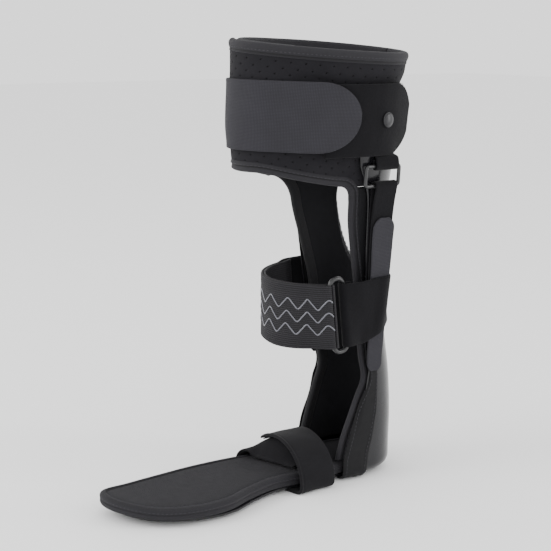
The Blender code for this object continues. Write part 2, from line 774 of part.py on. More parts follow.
def make_side_strap(side, word):
    """Upper webbing loop, wire ring, folded strap and hook tab on one side."""
    ring_x, ring_z = SIDE_RING_TOP.x, SIDE_RING_TOP.z
    bend = SIDE_RING_WIRE + GAP

    hang = [Vector((ring_x, mix(WEBBING_TOP, WEBBING_LEAVES, k / 5))) for k in range(6)]
    down = [Vector((ring_x + 0.0010, 0.2375)), Vector((ring_x + bend - 0.0001, 0.2345))]
    turn = arc((ring_x, ring_z), bend, 0, -180, 8)
    back = [Vector((ring_x - bend + 0.0005, 0.2342)), Vector((ring_x - bend + 0.0012, 0.2364))]
    side_ribbon(word + "_webbing_loop", hang + down + turn + back, lambda column: SIDE_STRAP_WIDTH,
                SIDE_STRAP_THICKNESS, "pile_fabric", side, lambda z: SIDE_RING_TOP.y,
                hug=lambda z: ease(0.2375, 0.2412, z))

    ring = rounded_ring(SIDE_RING_TOP, SIDE_RING_BOTTOM, SIDE_RING_WIDTH, SIDE_RING_CORNER)
    pivot = Vector((side * ring_x, SIDE_RING_TOP.y, ring_z))
    tube(word + "_ring", mirrored(ring, side), SIDE_RING_WIRE, "black_wire", cyclic=True, pivot=pivot)

    low_x, low_z = SIDE_RING_BOTTOM.x, SIDE_RING_BOTTOM.z
    thick = SIDE_STRAP_THICKNESS
    inner_heights = [mix(*SIDE_STRAP_INNER, k / 4) for k in range(5)]
    inner = [Vector((strap_line_x(z) - 2 * thick - HOOK_TAB_THICKNESS - GAP, z)) for z in inner_heights]
    climb = [Vector((low_x - bend, low_z - 0.004))]
    over = arc((low_x, low_z), bend, 180, 0, 8)
    outer_heights = [mix(*SIDE_STRAP_OUTER, k / 3) for k in range(4)]
    outer = [Vector((strap_line_x(z) - thick - HOOK_TAB_THICKNESS, z)) for z in outer_heights]
    line = inner + climb + over + outer

    def narrowing(column):
        return mix(SIDE_STRAP_LOW_WIDTH, SIDE_STRAP_WIDTH - 0.001, ease(0.130, 0.200, line[column].y))

    side_ribbon(word + "_side_strap", line, narrowing, thick, "pile_fabric", side, strap_line_y)

    steps = 18

    def taper(column):
        share = shares[column]
        wide = mix(*HOOK_TAB_WIDTHS, share)
        length = HOOK_TAB_TOP - HOOK_TAB_BOTTOM
        near = min(share, 1 - share) * length + 0.0008
        return 2 * round_end(near, wide / 2)

    shares = [0.5 - 0.5 * math.cos(math.pi * k / steps) for k in range(steps + 1)]
    heights = [mix(HOOK_TAB_TOP, HOOK_TAB_BOTTOM, share) for share in shares]
    tab = []
    for z in heights:
        over_stirrup = side_x(strap_line_y(z), z, STIRRUP_THICKNESS + 2.5 * GAP)
        tab.append(Vector((max(strap_line_x(z) - HOOK_TAB_THICKNESS + GAP, over_stirrup), z)))
    side_ribbon(word + "_hook_tab", tab, taper, HOOK_TAB_THICKNESS, "hook_tape", side, strap_line_y)


def rounded_ring(top, bottom, width, corner):
    """A rectangular wire ring between two bars, its corners rounded."""
    down = bottom - top
    height = down.length
    down.normalize()
    along = Vector((1, 0, 0)).cross(down).normalized()
    centre = (top + bottom) / 2
    ring = []
    for quarter, (u, v) in enumerate(((1, 1), (-1, 1), (-1, -1), (1, -1))):
        middle = (u * (width / 2 - corner), v * (height / 2 - corner))
        for p in arc(middle, corner, 90 * quarter, 90 * quarter + 90, 4):
            ring.append(centre + along * p.x - down * p.y)
    return ring


# ---------- stirrup strap under the heel ----------

def under_heel(reach, y, out):
    """x and z at a distance from the middle, going out under the heel and up the shell's side."""
    flat = side_x(y, HEEL_ROUNDING) - HEEL_ROUNDING
    flat += STIRRUP_TIGHTER
    bend = HEEL_ROUNDING + out - STIRRUP_TIGHTER
    if reach < flat:
        return reach, -out
    angle = (reach - flat) / bend
    if angle < math.pi / 2:
        return flat + bend * math.sin(angle), bend * (1 - math.cos(angle)) - out
    z = bend - out + reach - flat - bend * math.pi / 2
    return side_x(y, z, out), z


def make_stirrup():
    """The wide strap that passes under the heel and climbs both sides of the shell."""
    columns, rows = 44, 3
    half_length = STIRRUP_TOP + STIRRUP_BELOW

    def place(column, row):
        share = 2 * column / columns - 1
        side = 1 if share >= 0 else -1
        reach = abs(share) * half_length
        z = max(reach - STIRRUP_FLAT, 0.0)
        front = through(LINER_FRONT, max(z, LINER_FRONT[0][0])) - 0.001
        rear = through(STIRRUP_REAR, z)
        y = mix(front, rear, row / rows)
        x, height = under_heel(reach, y, GAP)
        return Vector((side * x, y, height))

    return bent_sheet("stirrup_strap", columns, rows, place, STIRRUP_THICKNESS, -1, "binding_tape")


# ---------- ankle strap ----------

def ankle_height(x, y, share):
    """The height of the strap at a point of the level loop: share 0 is its bottom edge, 1 its top."""
    width = ANKLE_WIDTH - ANKLE_BACK_RISE * ease(0.012, 0.040, y)
    return ANKLE_TOP + ANKLE_SLOPE * (y - x) - width * (1 - share)


def near_ring(x, y):
    """1 in the ring, falling to 0 a little way along the strap."""
    return 1 - ease(0.012, 0.030, abs(y - ANKLE_RING_CENTRE.y)) if x > 0 else 0.0


def ankle_lean(y):
    """The strap's outward lean for its height: with the calf at the sides, with the shell at the back."""
    return mix(ANKLE_LEAN * ease(-0.006, 0.010, y), ANKLE_BACK_LEAN, ease(0.031, 0.048, y))


def ankle_ribbon(name, line, thickness, side, slot, pivot=None, low=0.0, high=1.0):
    """A band along a level line, between two shares of the strap's width."""
    last = len(line) - 1
    rows = 2

    def place(column, row):
        point = line[column]
        share = mix(low, high, row / rows)
        near = near_ring(point.x, point.y)
        bunched = ANKLE_RING_CENTRE.z + (share - 0.5) * WIDTH_IN_RING
        z = mix(ankle_height(point.x, point.y, share), bunched, near)
        rise = z - ANKLE_RING_CENTRE.z
        out = Vector((point.x, point.y - ANKLE_LOOP.z)).normalized() * ankle_lean(point.y) * rise
        return Vector((point.x + out.x, point.y + out.y - math.tan(ANKLE_RING_TILT) * rise * near, z))

    return bent_sheet(name, last, rows, place, thickness, side, slot, pivot)


def ankle_arc(out, start, end, steps):
    """Part of the loop's front half; angles in degrees from the lateral side round the front."""
    points = []
    for step in range(steps + 1):
        angle = math.radians(mix(start, end, step / steps))
        points.append(Vector(((ANKLE_LOOP.x + out) * math.cos(angle),
                              ANKLE_LOOP.z - (ANKLE_LOOP.y + out) * math.sin(angle))))
    return points


def ring_leg(sign):
    """Where a leg of the ankle ring crosses the level of its centre: 1 rear, -1 front."""
    return Vector((ANKLE_RING_CENTRE.x + 0.0004 * sign, ANKLE_RING_CENTRE.y + sign * ANKLE_RING_WIDTH / 2))


def shifted(line, distance):
    """A level line moved sideways, to the right of its direction for a positive distance."""
    moved = []
    for index, point in enumerate(line):
        along = line[min(index + 1, len(line) - 1)] - line[max(index - 1, 0)]
        moved.append(point + Vector((along.y, -along.x)).normalized() * distance)
    return moved


def make_ankle_strap():
    """The pile strap round the back, the elastic round the front, folded through the ring and hooked on."""
    rear, front = ring_leg(1), ring_leg(-1)

    bend = ANKLE_RING_WIRE + 2 * GAP
    hem = [Vector((rear.x - bend, rear.y + reach)) for reach in (0.0080, 0.0040)]
    turn = arc(rear, bend, 180, 360, 8)
    round_back = [Vector(p) for p in ANKLE_BACK]
    medial_side = [Vector((-p.x, p.y)) for p in reversed(round_back[1:-1])]
    medial_end = Vector((-ANKLE_LOOP.x - ELASTIC_THICKNESS - 2 * GAP, 0.0030))
    round_leg = spline_points([turn[-1] + Vector((0, 0.001))] + round_back + medial_side + [medial_end], 3)
    ankle_ribbon("ankle_pile_strap", hem + turn + round_leg, PILE_THICKNESS, 1, "pile_fabric")

    bend = ANKLE_RING_WIRE + ELASTIC_THICKNESS + GAP
    inner_run = ankle_arc(0.0, 178, 58, 18)
    before_fold = Vector((front.x - bend, front.y - 0.002))
    inner_end = spline_points([inner_run[-1], ELASTIC_INNER_MIDDLE, before_fold], 3)
    fold = arc(front, bend, 180, 4, 8)
    ankle_ribbon("ankle_elastic_inner", inner_run + inner_end[1:] + fold, ELASTIC_THICKNESS, 1,
                 "elastic_webbing")

    start = Vector((front.x + ANKLE_RING_WIRE + GAP, front.y - GAP))
    outer_run = ankle_arc(ELASTIC_THICKNESS + GAP, 48, 160, 20)
    approach = spline_points([start, ELASTIC_OUTER_MIDDLE, outer_run[0]], 3)[:-1]
    clearance = PILE_THICKNESS + HOOK_PATCH_THICKNESS + 3 * GAP
    landing = spline_points([outer_run[-1]] + [Vector((-x - clearance, y)) for x, y in ANKLE_LANDING], 3)[1:]
    outer_line = approach + outer_run + landing
    pivot = Vector((start.x + ELASTIC_THICKNESS, start.y, ANKLE_RING_CENTRE.z))
    ankle_ribbon("ankle_elastic_outer", outer_line, ELASTIC_THICKNESS, -1, "elastic_webbing", pivot)
    patch_line = shifted(outer_line, HOOK_PATCH_THICKNESS + GAP)[-5:]
    ankle_ribbon("ankle_hook_patch", patch_line, HOOK_PATCH_THICKNESS, -1, "hook_tape", pivot,
                 low=0.08, high=0.92)

    tube("ankle_ring", ankle_ring_line(), ANKLE_RING_WIRE, "black_wire", cyclic=True, pivot=ANKLE_RING_CENTRE)


def ankle_ring_line():
    """The long wire ring, its corners rounded, leaning with the strap."""
    up = Vector((0, -math.sin(ANKLE_RING_TILT), math.cos(ANKLE_RING_TILT)))
    half = up * ANKLE_RING_LENGTH / 2
    top, bottom = ANKLE_RING_CENTRE + half, ANKLE_RING_CENTRE - half
    return rounded_ring(top, bottom, ANKLE_RING_WIDTH, ANKLE_RING_CORNER)


# ---------- instep strap ----------

def instep_arch(reach, crest, steps, start, end):
    """Points of the arch over the instep; angle 0 at the lateral side, 180 at the medial."""
    points = []
    base = INSTEP_CORNER
    for step in range(steps + 1):
        angle = math.radians(mix(start, end, step / steps))
        power = LATERAL_ROUNDNESS if angle < math.pi / 2 else MEDIAL_ROUNDNESS
        across = math.copysign(abs(math.cos(angle)) ** power, math.cos(angle))
        points.append(Vector((reach * across, base + (crest - base) * math.sin(angle) ** power)))
    return points


def instep_ribbon(name, line, middle, thickness, slot, side, pivot=None, width=INSTEP_WIDTH, rest=None):
    """A band across the foot, drawn as x and z points. Its front edge comes down to rest, if given."""
    last = len(line) - 1
    rows = 2 if rest is None else 4

    def place(column, row):
        x, z = line[column]
        y = middle(x) + width * (row / rows - 0.5)
        if rest is not None and z > rest:
            lowered = ease(-0.0320, -0.0240, x) * (1 - ease(0.0, 0.5, row / rows))
            z = mix(z, rest, lowered)
        return Vector((x, y, z))

    return bent_sheet(name, last, rows, place, thickness, side, slot, pivot)


def make_instep_strap():
    """The stretch under the sole and the two flaps that close over the instep."""
    corner = INSTEP_CORNER
    flat = INSTEP_SIDE - corner
    under = [Vector((x, -GAP)) for x in (-flat, -flat / 2, 0.0, flat / 2, flat)]
    lateral_turn = arc((flat, corner - GAP), corner, -90, -4, 5)[1:]
    medial_turn = arc((-flat, corner - GAP), corner, -176, -90, 5)[:-1]

    def base_middle(x):
        return mix(MEDIAL_END_Y, INSTEP_MIDDLE_Y, (x + INSTEP_SIDE) / (2 * INSTEP_SIDE))

    def upper_middle(x):
        return INSTEP_MIDDLE_Y + INSTEP_SLANT * (INSTEP_SIDE - x)

    def lower_middle(x):
        return MEDIAL_END_Y + LOWER_FLAP_SLANT * (x + INSTEP_SIDE)

    instep_ribbon("instep_strap_base", medial_turn + under + lateral_turn, base_middle, INSTEP_THICKNESS,
                  "binding_tape", -1)

    upper = instep_arch(INSTEP_SIDE, INSTEP_CREST, 18, 0, 130)
    upper_pivot = Vector((INSTEP_SIDE + INSTEP_THICKNESS, INSTEP_MIDDLE_Y, INSTEP_CORNER))
    instep_ribbon("instep_upper_flap", upper, upper_middle, INSTEP_THICKNESS, "pile_fabric", -1, upper_pivot)
    patch_line = shifted(upper, -HOOK_PATCH_THICKNESS - GAP)[-7:]
    instep_ribbon("instep_hook_patch", patch_line, upper_middle, HOOK_PATCH_THICKNESS, "hook_tape", -1,
                  upper_pivot, width=INSTEP_WIDTH - 0.004)

    step_in = INSTEP_THICKNESS + HOOK_PATCH_THICKNESS + 2 * GAP
    rising = instep_arch(INSTEP_SIDE, INSTEP_CREST, 16, 180, 80)
    lower = [point.lerp(inside, ease(2, 6, index))
             for index, (point, inside) in enumerate(zip(rising, shifted(rising, step_in)))]
    tail = spline_points([lower[-1], *LOWER_FLAP_TAIL], 3)[1:]
    lower_pivot = Vector((-INSTEP_SIDE - INSTEP_THICKNESS, MEDIAL_END_Y, INSTEP_CORNER))
    instep_ribbon("instep_lower_flap", lower + tail, lower_middle, INSTEP_THICKNESS, "pile_fabric", 1,
                  lower_pivot, width=LOWER_FLAP_WIDTH, rest=FLAP_REST)


# ---------- assembly ----------

clear_scene()
parts = new_collection(OBJECT_NAME)
cutters = new_collection("cutters", hidden=True)
materials = {slot: new_material(slot) for slot in MATERIALS}

window_cutter = make_window_cutter()
rivet_cutters = {side: make_rivet_cutter(name, side)
                 for side, name in ((LATERAL, "lateral_rivet_cutter"), (MEDIAL, "medial_rivet_cutter"))}
make_shell(window_cutter, rivet_cutters.values())
make_insole()
make_cuff()
make_liner(window_cutter)
make_calf_strap()
make_loop_tab()
for strap_side, strap_word in ((LATERAL, "lateral"), (MEDIAL, "medial")):
    make_side_strap(strap_side, strap_word)
make_stirrup()
make_ankle_strap()
make_instep_strap()
make_rivet("lateral_rivet", LATERAL, TAB_OUT + LOOP_TAB_THICKNESS)
make_rivet("medial_rivet", MEDIAL, TAB_OUT + CALF_STRAP_THICKNESS)
for drilled, side in (("loop_tab", LATERAL), ("lateral_webbing_loop", LATERAL),
                      ("calf_strap_anchor", MEDIAL), ("medial_webbing_loop", MEDIAL)):
    cut(bpy.data.objects[drilled], rivet_cutters[side])
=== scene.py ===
"""The looks of the ankle foot orthosis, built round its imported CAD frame.

Everything is drawn in the same design frame as the CAD: z = 0 is the underside of the foot plate,
y = 0 the middle of the leg, +X the outer (lateral) side, and PLACE moves it into the row frame.
Fabric pieces are closed sheets with rounded edges, relief and UVs in metres.
"""

import math
import random

import bmesh
import bpy
from mathutils import Matrix, Vector, noise


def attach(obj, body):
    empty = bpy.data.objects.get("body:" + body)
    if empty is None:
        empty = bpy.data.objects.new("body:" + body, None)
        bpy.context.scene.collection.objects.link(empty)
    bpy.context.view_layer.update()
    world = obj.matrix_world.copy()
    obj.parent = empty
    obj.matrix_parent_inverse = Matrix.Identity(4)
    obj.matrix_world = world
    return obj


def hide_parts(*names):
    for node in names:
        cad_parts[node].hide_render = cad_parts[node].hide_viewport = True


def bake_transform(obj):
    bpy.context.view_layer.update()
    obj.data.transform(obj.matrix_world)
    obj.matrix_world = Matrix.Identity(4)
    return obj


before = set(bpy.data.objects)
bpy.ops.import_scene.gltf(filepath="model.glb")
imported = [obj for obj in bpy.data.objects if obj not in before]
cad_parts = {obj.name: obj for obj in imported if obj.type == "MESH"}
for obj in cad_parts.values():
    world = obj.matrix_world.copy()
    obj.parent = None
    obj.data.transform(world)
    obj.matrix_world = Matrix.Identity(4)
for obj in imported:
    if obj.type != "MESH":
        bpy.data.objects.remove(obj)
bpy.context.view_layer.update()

PLACE = Vector((-0.0004, 0.0560, 0.0020))
GAP = 0.0004
LATERAL, MEDIAL = 1, -1
MM = 0.001

# ---------- the CAD's driving dimensions ----------

# The leg: height, half width, back line and depth of the front half of the shell's outer face.
LEG = (
    (-0.010, 0.0310, 0.0622, 0.060),
    (0.020, 0.0312, 0.0622, 0.060),
    (0.040, 0.0315, 0.0626, 0.055),
    (0.060, 0.0315, 0.0617, 0.046),
    (0.080, 0.0316, 0.0596, 0.037),
    (0.100, 0.0318, 0.0562, 0.033),
    (0.130, 0.0325, 0.0512, 0.0325),
    (0.160, 0.0345, 0.0496, 0.0345),
    (0.190, 0.0380, 0.0506, 0.048),
    (0.222, 0.0430, 0.0540, 0.077),
    (0.255, 0.0485, 0.0590, 0.083),
    (0.288, 0.0510, 0.0625, 0.083),
    (0.330, 0.0565, 0.0690, 0.082),
)
SHELL_THICKNESS, SHELL_TOP = 0.0026, 0.288
HEEL_ROUNDING, HEEL_FLANGE, FLANGE_LIFT = 0.008, 0.005, 0.0003
SHELL_FRONT = (
    (0.000, 0.008),
    (0.025, 0.012),
    (0.050, 0.020),
    (0.100, 0.0265),
    (0.150, 0.0190),
    (0.198, 0.0148),
    (0.213, 0.0122),
    (0.224, 0.0077),
    (0.235, 0.0026),
    (0.262, 0.0000),
    (0.280, 0.0010),
    (0.290, 0.0080),
)
WINDOW_LOW, WINDOW_WIDE_AT, WINDOW_HIGH = 0.148, 0.203, 0.230
WINDOW_HALF_WIDTH, WINDOW_AXIS_Y, WINDOW_FACE_Y = 0.0245, 0.0126, 0.0360
PLATE_THICKNESS, PLATE_SHORTER, PLATE_INSET = 0.0026, 0.0085, 0.0018
INSOLE_BOTTOM, INSOLE_TOP = 0.0030, 0.0113
FOOT_OUTLINE = (
    (0.000, 0.0545),
    (0.0160, 0.0490),
    (0.0235, 0.0330),
    (0.0243, 0.0130),
    (0.0262, -0.0070),
    (0.0262, -0.0300),
    (0.0248, -0.0560),
    (0.0310, -0.0800),
    (0.0385, -0.1000),
    (0.0400, -0.1180),
    (0.0350, -0.1400),
    (0.0225, -0.1590),
    (0.0060, -0.1710),
    (-0.0100, -0.1750),
    (-0.0225, -0.1705),
    (-0.0288, -0.1580),
    (-0.0310, -0.1400),
    (-0.0330, -0.1150),
    (-0.0345, -0.0900),
    (-0.0335, -0.0600),
    (-0.0300, -0.0300),
    (-0.0268, -0.0070),
    (-0.0243, 0.0130),
    (-0.0235, 0.0330),
    (-0.0160, 0.0490),
)
PAD_THICKNESS, PAD_GAP, FLAP_LAP = 0.0038, 0.0006, 0.0052
PAD_OUT = -SHELL_THICKNESS - PAD_GAP - PAD_THICKNESS
CUFF_TOP, CUFF_MIDDLE_Y = 0.317, 0.011
CUFF_TOP_TILT = (-0.068, -0.043)  # the rim's rise towards +X and towards +Y
CUFF_BOTTOM_FRONT, CUFF_BOTTOM_SIDE = 0.2315, 0.2195
TAPE_HEIGHT, TAPE_PROUD = 0.009, 0.0005
OUTER_FLAP_HINGE, OUTER_FLAP_END = 121, 210
INNER_FLAP_HINGE, INNER_FLAP_END = -95, -220
LINER_BOTTOM = 0.0130
LINER_FRONT = (
    (0.010, 0.0050),
    (0.030, 0.0100),
    (0.044, 0.0150),
    (0.060, 0.0210),
    (0.074, 0.0260),
    (0.090, 0.0235),
    (0.120, 0.0190),
    (0.146, 0.0160),
    (0.164, 0.0125),
    (0.180, 0.0090),
    (0.195, 0.0058),
    (0.210, 0.0040),
    (0.220, 0.0020),
)
CALF_STRAP_WIDTH, LOOP_TAB_WIDTH, CALF_STRAP_THICKNESS = 0.048, 0.050, 0.0015
CALF_STRAP_MIDDLE, CALF_STRAP_SLOPE = 0.268, 0.03
CALF_STRAP_REAR, CALF_STRAP_HINGE, CALF_STRAP_TIP = -62, -103, -259.5
LOOP_TAB_FRONT, LOOP_TAB_REAR, LOOP_TAB_THICKNESS = 118, 66, 0.0020
LOOP_TAB_HEIGHT, LOOP_TAB_TAIL = 0.2665, 0.0165
RIVET_PHI, RIVET_Z, RIVET_HEAD = 81, 0.2665, 0.0052
SIDE_STRAP_WIDTH, SIDE_STRAP_LOW_WIDTH, SIDE_STRAP_THICKNESS = 0.0205, 0.0160, 0.0012
SIDE_RING_WIRE = 0.0014
SIDE_RING_TOP = Vector((0.0480, 0.0200, 0.2340))
SIDE_RING_BOTTOM = Vector((0.0470, 0.0200, 0.2200))
STRAP_BACK, TAB_BACK = 0.0025, 0.0010  # how far behind the ring's middle the webbing and the tab lie
SIDE_RING_WIDTH, SIDE_RING_CORNER = 0.0300, 0.0020
SIDE_STRAP_OUT = (0.0346, 0.0498)
HOOK_TAB_TOP, HOOK_TAB_BOTTOM = 0.1970, 0.0810
HOOK_TAB_WIDTHS, HOOK_TAB_THICKNESS = (0.0200, 0.0130), 0.0013
STIRRUP_THICKNESS, STIRRUP_TOP, STIRRUP_TIGHTER = 0.0014, 0.100, 0.0024
STIRRUP_REAR = ((0.000, 0.0235), (0.016, 0.0253), (0.027, 0.0280), (0.042, 0.0305), (0.060, 0.0320), (0.105, 0.0308))
ANKLE_TOP, ANKLE_SLOPE, ANKLE_WIDTH, ANKLE_BACK_RISE = 0.1535, 0.035, 0.0475, 0.008
ANKLE_LEAN, ANKLE_BACK_LEAN = 0.115, -0.11
ELASTIC_THICKNESS, PILE_THICKNESS = 0.0016, 0.0013
ANKLE_LOOP = Vector((0.0385, 0.0472, 0.0080))
ANKLE_RING_WIRE = 0.0017
ANKLE_RING_CENTRE = Vector((0.0372, -0.0092, 0.1280))
ANKLE_RING_LENGTH, ANKLE_RING_WIDTH, ANKLE_RING_CORNER = 0.0540, 0.0115, 0.0050
WIDTH_IN_RING = 0.0470
ANKLE_FRONT_RISE = 0.0020  # how much higher the bottom edge runs at the medial front
ANKLE_RING_TILT = math.radians(6.5)
ANKLE_BACK = (
    (0.0400, 0.0050),
    (0.0402, 0.0200),
    (0.0400, 0.0305),
    (0.0295, 0.0405),
    (0.0160, 0.0492),
    (0.0000, 0.0536),
)
ANKLE_LANDING = ((0.0398, 0.0010), (0.0402, 0.0100), (0.0402, 0.0190))
HOOK_PATCH_THICKNESS = 0.0008
INSTEP_THICKNESS, INSTEP_WIDTH, INSTEP_MIDDLE_Y = 0.0016, 0.031, -0.0240
INSTEP_SIDE, INSTEP_CREST, INSTEP_CORNER = 0.0335, 0.0315, 0.0040
INSTEP_SLANT, LOWER_FLAP_SLANT = 0.07, 0.29
LATERAL_ROUNDNESS, MEDIAL_ROUNDNESS = 0.95, 1.0
MEDIAL_END_Y, LOWER_FLAP_WIDTH, FLAP_REST = -0.0355, 0.029, 0.0130

# ---------- sizes that only the looks need ----------

CELL = 0.0012  # the padded fabric's grid, and a part of its perforations' pitch
DOT_COLUMNS, DOT_ROWS, DOT_DEPTH = 8, 4, 0.0007
BAND_WIDTH, BAND_REACH = 0.0084, 0.0040  # the edge tape: its width, and how far it stands past the liner
CORNER_RADII = {LATERAL: 0.009, MEDIAL: 0.020}  # where the cuff's bottom tape turns down
CORNER_PHI = 112
GROOVE = 0.0003  # how deep the lines sewn beside a tape's cord are
RING_SWING_ROOM = 0.0008  # between the side ring's lower bar and the strap folded over it
STIRRUP_TUCK = 0.0022  # how far the stirrup's front sinks towards the liner, past the shell's edge
PAD_SWELL = 0.0025  # how far the cuff bulges out where the shell doesn't hold it
TOE_SPRING, TOE_LENGTH = 0.0045, 0.028
RIB_PITCH, RIB_HEIGHT = 0.0015, 0.00015
WAVE_PITCH, WAVE_SWING, WAVE_SPACING = 0.0150, 0.0034, 0.0093
STITCH_PITCH, STITCH_LENGTH, STITCH_RADIUS = 0.0030, 0.0021, 0.00022


# ---------- numbers and curves ----------

def mix(low, high, share):
    return low + (high - low) * share


def ease(low, high, value):
    """0 before low, 1 after high, smooth between."""
    share = min(max((value - low) / (high - low), 0.0), 1.0)
    return share * share * (3 - 2 * share)


def ridge(at, centre, width):
    """1 at centre, falling smoothly to 0 at width from it."""
    away = abs(at - centre) / width
    return 0.5 + 0.5 * math.cos(math.pi * away) if away < 1 else 0.0


def through(stations, at, column=1):
    """Smooth value of one column of a table of stations, at one value of its first column."""
    last = len(stations) - 1
    at = min(max(at, stations[0][0]), stations[last][0])
    index = max(i for i in range(last) if stations[i][0] <= at)

    def slope(i):
        before, after = stations[max(i - 1, 0)], stations[min(i + 1, last)]
        return (after[column] - before[column]) / (after[0] - before[0])

    start, end = stations[index], stations[index + 1]
    span = end[0] - start[0]
    t = (at - start[0]) / span
    return (
        start[column] * (1 + 2 * t) * (1 - t) ** 2
        + slope(index) * span * t * (1 - t) ** 2
        + end[column] * t * t * (3 - 2 * t)
        - slope(index + 1) * span * t * t * (1 - t)
    )


def spline_points(knots, per_span, closed=False):
    """Points on a Catmull-Rom curve through knots."""
    knots = [Vector(knot) for knot in knots]
    count = len(knots)
    points = []
    for span in range(count if closed else count - 1):
        if closed:
            a, b, c, d = (knots[(span + k) % count] for k in (-1, 0, 1, 2))
        else:
            a, b, c, d = (knots[min(max(span + k, 0), count - 1)] for k in (-1, 0, 1, 2))
        for step in range(per_span):
            t = step / per_span
            points.append(
                0.5 * (2 * b + (c - a) * t + (2 * a - 5 * b + 4 * c - d) * t * t
                       + (3 * b - a - 3 * c + d) * t ** 3)
            )
    if not closed:
        points.append(knots[-1])
    return points


def arc(centre, radius, start, end, steps):
    """Points of a 2D arc, angles in degrees."""
    angles = [math.radians(mix(start, end, i / steps)) for i in range(steps + 1)]
    return [Vector((centre[0] + radius * math.cos(t), centre[1] + radius * math.sin(t))) for t in angles]


def lengths_along(points):
    """The distance along a polyline at each of its points."""
    total = [0.0]
    for before, after in zip(points, points[1:]):
        total.append(total[-1] + (after - before).length)
    return total


class Line:
    """A smooth polyline read by share of its length."""

    def __init__(self, points):
        self.points = points
        self.marks = lengths_along(points)
        self.length = self.marks[-1]

    def at(self, share):
        reach = min(max(share, 0.0), 1.0) * self.length
        index = max(i for i in range(len(self.points) - 1) if self.marks[i] <= reach + 1e-12)
        span = self.marks[index + 1] - self.marks[index]
        return self.points[index].lerp(self.points[index + 1], (reach - self.marks[index]) / span)


def smoothed(points, rounds=2):
    """Corner-cutting, ends kept, so that a line of few points reads as a curve."""
    for _ in range(rounds):
        finer = [points[0]]
        for before, after in zip(points, points[1:]):
            finer += [before.lerp(after, 0.25), before.lerp(after, 0.75)]
        points = finer + [points[-1]]
    return points


# ---------- the leg ----------

def leg_size(z):
    """Half width, depth of the front half and centre y of the shell's outer face at height z."""
    half = through(LEG, z, 1)
    return half, through(LEG, z, 3), through(LEG, z, 2) - half


def on_leg(phi, z, out=0.0):
    """A point round the leg: phi in degrees from the back, positive to the lateral side."""
    half, front, centre = leg_size(z)
    angle = math.radians(phi)
    depth = half if math.cos(angle) > 0 else front
    return Vector(((half + out) * math.sin(angle), centre + (depth + out) * math.cos(angle), z))


def phi_at(y, z, out=0.0):
    """The angle round the leg at which a level section reaches y."""
    half, front, centre = leg_size(z)
    depth = half if y > centre else front
    return math.degrees(math.acos(min(max((y - centre) / (depth + out), -1.0), 1.0)))


def side_x(y, z, out=0.0):
    return on_leg(phi_at(y, z, out), z, out).x


def outward(phi, z):
    step = on_leg(phi + 1, z) - on_leg(phi - 1, z)
    return Vector((-step.y, step.x, 0)).normalized()


# ---------- materials ----------

